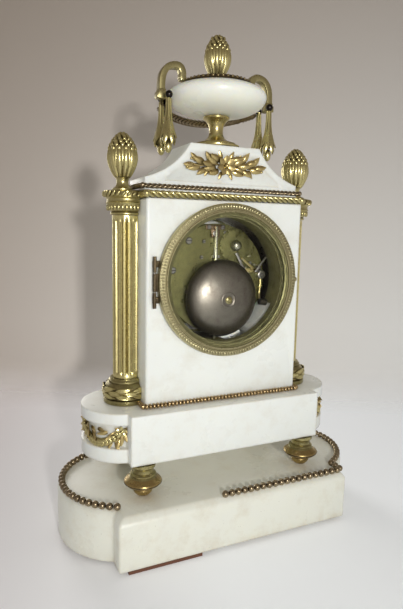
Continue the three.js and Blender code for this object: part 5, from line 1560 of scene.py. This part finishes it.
class CLOCK_OT_doors(bpy.types.Operator):
    """Ribbed door rims and the rings that they close on"""
    bl_idname = "clock.doors"
    bl_label = "Doors"

    def execute(self, context):
        for name, side in (("rear", 1), ("front", -1)):
            self.rim(name, side)
            self.bezel(name, side)
        return {"FINISHED"}

    def rim(self, name, side):
        node = name + "_door_rim"
        low, high = node_box(node)
        face = low.y if side > 0 else high.y
        rim = ribbed_rim(node + "_band", high.y - low.y)
        rim.data.transform(mounted(0, face, DIAL_Z, side))
        y = frame_hinge(name)
        knuckle = rod(node + "_knuckle", (HINGE_X, y, DIAL_Z - DOOR_KNUCKLE),
                      (HINGE_X, y, DIAL_Z + DOOR_KNUCKLE), KNUCKLE_R)
        strap = bar(node + "_strap", (47.6, y - 0.6, DIAL_Z - 5.5), (HINGE_X, y + 0.6, DIAL_Z + 5.5), 0.2)
        knob = ball(node + "_catch", 3.4, 8, 12)
        knob.data.transform(move(-49.6, face + side * 1.6, DIAL_Z))
        whole = joined(node + "_turned", [rim, painted(knuckle, "bronze_dark"), painted(strap, "bronze_dark"),
                                          painted(knob, "gilt_pale")])
        dress(whole, node, name + "_door")

    def bezel(self, name, side):
        node = name + "_bezel"
        case_face = node_box("case_block")[1].y + MOUNT_GAP
        tube, flange = (5.0, 1.6) if side > 0 else (2.0, 5.6)
        place = mounted(0, side * case_face, DIAL_Z, side)
        ring = turned(node + "_ring", [
            (RING_IN, -tube), (RING_OUT, -tube), (RING_OUT, 0), (FLANGE_R, 0), (FLANGE_R, flange),
            (RING_OUT, flange), (RING_OUT, 0.6), (RING_IN, 0.6), (RING_IN, -tube)], 128, place)
        pieces = [painted(ring, "sleeve")]
        if side > 0:
            # The deep lining's dark bronze is painted shade: it stands for the dark deep in the bore behind
            # the plate.
            for part, inner, outer, start, end, finish in (
                    ("_lining", 40.9, 41.3, -tube, LINING_END, "sleeve"),
                    ("_deep_shade_lining", 41.1, 41.4, LINING_END, DEEP_END, "bronze_dark")):
                lining = turned(node + part, tube_profile(inner, outer, start, end), LINING_STEPS, place, 40,
                                LINING_START, LINING_SWEEP)
                pieces.append(painted(lining, finish))
        y = frame_hinge(name)
        leaf_low, leaf_high = sorted((side * case_face, side * (case_face + flange)))
        post_low, post_high = sorted((side * case_face, y))
        for sign in (1, -1):
            start, end = (DIAL_Z + sign * z for z in CASE_KNUCKLE)
            under, over = (DIAL_Z + sign * LEAF_MIDDLE + half for half in (-LEAF_HALF, LEAF_HALF))
            knuckle = rod(node + "_knuckle", (HINGE_X, y, start), (HINGE_X, y, end), KNUCKLE_R)
            strap = bar(node + "_strap", (45.0, leaf_low, under), (HINGE_X, leaf_high, over), 0.25)
            post = bar(node + "_post", (HINGE_X - 0.5, post_low, under),
                       (HINGE_X + 0.5, post_high, over), 0.2)
            pieces += [painted(piece, "bronze_dark") for piece in (knuckle, strap, post)]
        pin = rod(node + "_pin", (HINGE_X, y, DIAL_Z - 15), (HINGE_X, y, DIAL_Z + 15), PIN_R)
        dress(joined(node + "_turned", [*pieces, painted(pin, "steel")]), node)


# Back plate: its radius and thickness, its pillar screws' radius and angles, and from the dial's middle
# its small screws and the levers' pins
PLATE_R, PLATE_THICK = 36.5, 1.5
PILLAR_SCREWS_R, PILLAR_SCREWS = 32.5, (10, 50, 170, 270)
SMALL_SCREWS = ((-25.5, 10), (-29.5, 5), (-22, 4), (10, 24.5), (-5.5, 30.5), (11.5, 14), (22, -9))
LEVER_PINS = ((-18.5, 12.5), (-23.5, 15), (-27.5, 9), (-20.5, 7), (-31, 8.5))

# Levers: half width, thickness, length, where each starts from the dial's middle and over the plate, its
# turn, finish
LEVERS = (("lever_arm", 0.9, 1.0, 17, (-21.5, 2.0, 2.0), 28, "steel"),
          ("detent_arm", 0.7, 0.9, 13, (-29, 1.9, 4.0), -38, "steel"),
          ("rack_arm", 0.8, 1.0, 15, (-18.2, 0.6, 13.5), -128, "plate_bright"))

# Turned profiles of the movement's fittings
BELL_STUD = [(0, 0), (2.4, 0), (2.4, 0.7), (2.0, 1.1), (1.5, 1.2), (1.3, 1.0), (1.1, 1.1), (0.9, 1.6),
             (0, 1.8)]
BELL_RING = [(2.9, -0.3), (5.2, -0.5), (5.3, 0.1), (4.8, 0.45), (4.3, 0.45), (3.7, 0.05), (3.0, 0.0),
             (2.9, -0.3)]
COUNT_BOSS = [(0, -2.2), (3.5, -2.2), (3.7, -1.6), (3.5, -1.0), (3.0, -0.6), (3.2, 0), (3.1, 0.6), (2.4, 1.3),
              (1.2, 1.8), (0, 1.9)]
HAMMER_EYE = [(1.35, 0), (2.9, 0), (2.9, 3.4), (2.5, 3.7), (1.35, 3.7), (1.35, 0)]
BOB = [(0, -2.7), (6, -2.3), (11, -0.9), (12.3, -0.2), (12.5, 0), (12.3, 0.2), (11, 0.9), (6, 2.3), (0, 2.7)]

# Radius of the bell, the height of the hammer's head from the dial's middle, and of the bob over the
# pendulum's end
BELL_R, HAMMER_HEAD_Z, BOB_UP = 26.0, -17, 1.6 + 12.5


def screws(name, radius, height, spots):
    """Slotted screw heads facing back, at X, Y and Z places."""
    profile = [(0, 0), (radius, 0), (radius, height * 0.7), (radius * 0.8, height), (0, height)]
    head = turned(name + "_head", profile, 20)
    slot = bar(name + "_head_slot", (-radius * 0.85, -radius * 0.12, height * 0.98),
               (radius * 0.85, radius * 0.12, height * 1.02), 0.01)
    whole = assembled(name + "_head", (head, "steel"), (slot, "black"))
    return copies(name, whole, [mounted(*spot) for spot in spots])


class CLOCK_OT_movement(bpy.types.Operator):
    """Back plate, bell, hammer, pendulum and its suspension, count wheel and pallets"""
    bl_idname = "clock.movement"
    bl_label = "Movement"

    def execute(self, context):
        self.back_plate()
        self.bell()
        self.hammer()
        self.pendulum()
        self.suspension()
        self.count_wheel()
        dress(from_node("pallets_eased", "pallets", 0.15), "pallets", "pallets", "steel")
        return {"FINISHED"}

    def back_plate(self):
        """The plate with its screws and levers, and the posts that carry the bell and the hammer."""
        front = node_box("back_plate")[0].y
        back = front + PLATE_THICK
        bell = middle("bell")
        bell_top = node_box("bell")[1].y
        profile = [(0, 0), (PLATE_R - 0.2, 0), (PLATE_R, 0.2), (PLATE_R, PLATE_THICK - 0.2),
                   (PLATE_R - 0.2, PLATE_THICK), (0, PLATE_THICK)]
        plate = turned("plate_disc", profile, 128, mounted(0, front, DIAL_Z))
        pieces = [painted(plate, "plate")]
        pins = [rod("lever_pin", (x, back - 0.2, DIAL_Z + z), (x, back + 3.4, DIAL_Z + z), 0.7, 10)
                for x, z in LEVER_PINS]
        angles = [math.radians(a) for a in PILLAR_SCREWS]
        ring = [(PILLAR_SCREWS_R * math.cos(a), back, DIAL_Z + PILLAR_SCREWS_R * math.sin(a)) for a in angles]
        pieces.append(screws("pillar_screws", 2.3, 1.3, ring))
        pieces.append(screws("plate_screws", 1.2, 0.9, [(x, back, DIAL_Z + z) for x, z in SMALL_SCREWS]))
        cock = bar("lever_cock", (-30.5, back, DIAL_Z + 3.4), (-21, back + 1.6, DIAL_Z + 6.4))
        pieces.append(painted(cock, "plate_bright"))
        for name, half, thick, length, (x, y, z), lean, finish in LEVERS:
            lever = bar(name, (-half, 0, 0), (half, thick, length), 0.25)
            lever.data.transform(move(x, back + y, DIAL_Z + z) @ turn(lean, "Y"))
            pieces.append(painted(lever, finish))
        pieces += [painted(pin, "steel_bright") for pin in pins]
        post = rod("bell_post", (bell.x, back - 0.3, bell.z), (bell.x, bell_top - 1.3, bell.z), 1.0)
        stud = turned("bell_stud", BELL_STUD, 32, mounted(bell.x, bell_top - 0.15, bell.z))
        hammer_z = DIAL_Z + HAMMER_UP
        pin = rod("hammer_post", (HAMMER_X, back - 0.3, hammer_z), (HAMMER_X, back + 4.2, hammer_z), 1.05)
        pieces += [painted(post, "plate"), painted(stud, "brass"), painted(pin, "steel")]
        dress(joined("back_plate_fitted", pieces), "back_plate", CASE)

    def bell(self):
        low, high = node_box("bell")
        centre = middle("bell")
        depth = high.y - low.y
        outside = arc_oval(0, 0, BELL_R, depth, 0, 87, 26)
        inside = arc_oval(0, 0, BELL_R - 1.0, depth - 1.0, 87, 0, 20)
        dome = turned("bell_dome", [*outside, *inside, outside[0]], 96,
                      mounted(centre.x, low.y, centre.z), 60)
        collar = turned("bell_ring", BELL_RING, 48, mounted(centre.x, high.y - 0.12, centre.z))
        dress(assembled("bell_turned", (dome, "bell"), (collar, "bell")), "bell", CASE)

    def hammer(self):
        low, high = node_box("hammer")
        head_z = DIAL_Z + HAMMER_HEAD_Z
        head_y = high.y - 2.4
        eye = turned("hammer_eye", HAMMER_EYE, 32, mounted(HAMMER_X, low.y, DIAL_Z + HAMMER_UP))
        way = [(HAMMER_X, low.y + 1.8, DIAL_Z + 0.4), (HAMMER_X + 0.4, low.y + 2.2, DIAL_Z - 6),
               (HAMMER_X + 1.6, low.y + 3.2, DIAL_Z - 13), (HAMMER_X + 1.2, head_y - 1.5, head_z)]
        arm = stem("hammer_arm", way, 0.75)
        head = rod("hammer_head", (low.x + 1.0, head_y, head_z),
                   (high.x - 0.2, head_y, head_z + 0.9), 2.2, 24)
        whole = assembled("hammer_forged", (eye, "steel"), (arm, "plate_bright"), (head, "steel_dark"))
        dress(whole, "hammer", "hammer")

    def pendulum(self):
        low, high = node_box("pendulum")
        x, y, _ = middle("pendulum")
        strip = bar("pendulum_rod", (x - 0.8, y - 0.8, low.z), (x + 0.8, y + 0.8, high.z))
        bob = turned("pendulum_bob", BOB, 64, mounted(x, y, low.z + BOB_UP))
        nut = turned("rating_nut", [(0, 0), (2.2, 0), (2.2, 1.4), (0, 1.4)], 16, move(x, y, low.z + 0.2))
        whole = assembled("pendulum_fitted", (strip, "steel_bright"), (bob, "brass_polished"),
                          (nut, "brass_polished"))
        dress(whole, "pendulum", "pendulum")

    def suspension(self):
        low, high = node_box("suspension_block")
        x, _, z = middle("suspension_block")
        block = bar("suspension_body", low, high, 0.4)
        cheeks = bar("suspension_cheeks", (x - 3, high.y - 1.0, low.z - 5.2),
                     (x + 3, high.y - 0.2, high.z), 0.25)
        heads = screws("suspension_screws", 1.5, 1.0, [(x + side * 5, high.y - 0.5, z) for side in (-1, 1)])
        pieces = [painted(block, "copper_dull"), painted(cheeks, "copper_dull"), heads]
        dress(joined("suspension_fitted", pieces), "suspension_block", CASE)

    def count_wheel(self):
        """The notched wheel in the plate's own brass, under a bright domed boss."""
        wheel = from_node("count_wheel_eased", "count_wheel", 0.15)
        x, z = COUNT_AT
        boss = turned("count_boss", COUNT_BOSS, 32, mounted(x, node_box("count_wheel")[1].y, DIAL_Z + z))
        whole = assembled("count_wheel_fitted", (wheel, "plate"), (boss, "steel_bright"))
        dress(whole, "count_wheel", "count_wheel")


# Dial: its numerals, their size and the radius of their middles, and the radii and half width of the
# minute marks
NUMERALS = ("XII", "I", "II", "III", "IIII", "V", "VI", "VII", "VIII", "IX", "X", "XI")
NUMERAL_SIZE, NUMERAL_R = 8.2, 30.5
MINUTE_MARK = ("minute", 60, 36.6, 38.2, 0.16)
FIVE_MINUTE_MARK = ("five_minute", 12, 36.4, 38.4, 0.4)
WINDING_RING = [(3.2, 0), (4.0, 0), (4.0, 0.25), (3.6, 0.4), (3.2, 0.25), (3.2, 0)]


class CLOCK_OT_dial(bpy.types.Operator):
    """Enamel dial with its numerals and minute track, and the hands"""
    bl_idname = "clock.dial"
    bl_label = "Dial and hands"

    def execute(self, context):
        front = node_box("dial")[0].y
        pieces = [painted(from_node("dial_enamel", "dial", 0.2), "enamel")]
        for hour, letters in enumerate(NUMERALS):
            pieces.append(painted(self.numeral(letters, hour, front - 0.06), "ink"))
        outward = mounted(0, front + 0.02, DIAL_Z, -1)
        for name, count, inner, outer, half in (MINUTE_MARK, FIVE_MINUTE_MARK):
            mark = bar(name + "_mark", (-half, inner, 0), (half, outer, 0.1), 0.01)
            marks = copies(name + "_marks", mark, [outward @ place for place in round_z(count)])
            pieces.append(painted(marks, "ink"))
        for x, z in WINDING_HOLES:
            ring = turned("winding_ring", WINDING_RING, 32, mounted(x, front + 0.05, DIAL_Z + z, -1))
            pieces.append(painted(ring, "gilt_pale"))
        dress(joined("dial_painted", pieces), "dial", CASE)
        for node, body in (("hour_hand", "hour_hand"), ("minute_hand", "centre_arbor")):
            dress(from_node(node + "_eased", node, 0.12), node, body, "blue")
        return {"FINISHED"}

    def numeral(self, letters, hour, face):
        """A numeral set upright along its radius, as thin raised letters."""
        deselect()
        bpy.ops.object.text_add()
        words = bpy.context.object
        words.data.body = letters
        words.data.align_x = "CENTER"
        words.data.align_y = "CENTER"
        words.data.size = NUMERAL_SIZE * MM
        words.data.space_character = 0.86
        words.data.extrude = 0.05 * MM
        bpy.ops.object.convert(target="MESH")
        piece = named("numeral_%d" % (hour + 1))
        spoke = turn(30 * hour, "Y") @ turn(90, "X") @ move(0, NUMERAL_R, 0)
        piece.data.transform(move(0, face, DIAL_Z) @ spoke @ size(0.78, 1.25, 1))
        return piece


# Finish of a piece that keeps the frame's own shape, by its slot in the record
KEPT_FINISHES = {"board": "board", "marble": "marble", "dark_bronze": "bronze", "gilt": "gilt",
                 "olive_brass": "plate", "steel": "steel", "bell_metal": "bell", "glass": "glass",
                 "enamel": "enamel"}


class CLOCK_OT_nodes(bpy.types.Operator):
    """Finishes for the pieces that keep the frame's own shape"""
    bl_idname = "clock.nodes"
    bl_label = "Kept pieces"

    def execute(self, context):
        for row in frame["record"]["subparts"]:
            piece = frame["nodes"][row["node"]]
            piece.data.materials.clear()
            painted(piece, KEPT_FINISHES[row["material_slot"]])
        return {"FINISHED"}


class CLOCK_PT_panel(bpy.types.Panel):
    """Lists the clock's pieces in the sidebar"""
    bl_idname = "CLOCK_PT_panel"
    bl_label = "Mantel clock"
    bl_space_type = "VIEW_3D"
    bl_region_type = "UI"
    bl_category = "Clock"

    def draw(self, context):
        for operator in OPERATORS:
            self.layout.operator(operator.bl_idname)
        for group in (context.scene.clock_sizes, context.scene.clock_colours):
            for key in group.__annotations__:
                self.layout.prop(group, key)


OPERATORS = (CLOCK_OT_stage, CLOCK_OT_nodes, CLOCK_OT_marble, CLOCK_OT_feet, CLOCK_OT_beading,
             CLOCK_OT_finials, CLOCK_OT_columns, CLOCK_OT_ropes, CLOCK_OT_urn, CLOCK_OT_sprays,
             CLOCK_OT_doors, CLOCK_OT_movement, CLOCK_OT_dial)
CLASSES = (ClockColours, ClockSizes, *OPERATORS, CLOCK_PT_panel)


def register():
    for item in CLASSES:
        bpy.utils.register_class(item)
    bpy.types.Scene.clock_colours = bpy.props.PointerProperty(type=ClockColours)
    bpy.types.Scene.clock_sizes = bpy.props.PointerProperty(type=ClockSizes)


def unregister():
    del bpy.types.Scene.clock_sizes
    del bpy.types.Scene.clock_colours
    for item in reversed(CLASSES):
        bpy.utils.unregister_class(item)


def main():
    register()
    for operator in OPERATORS:
        group, name = operator.bl_idname.split(".")
        getattr(getattr(bpy.ops, group), name)()
    deselect()


if __name__ == "__main__":
    main()
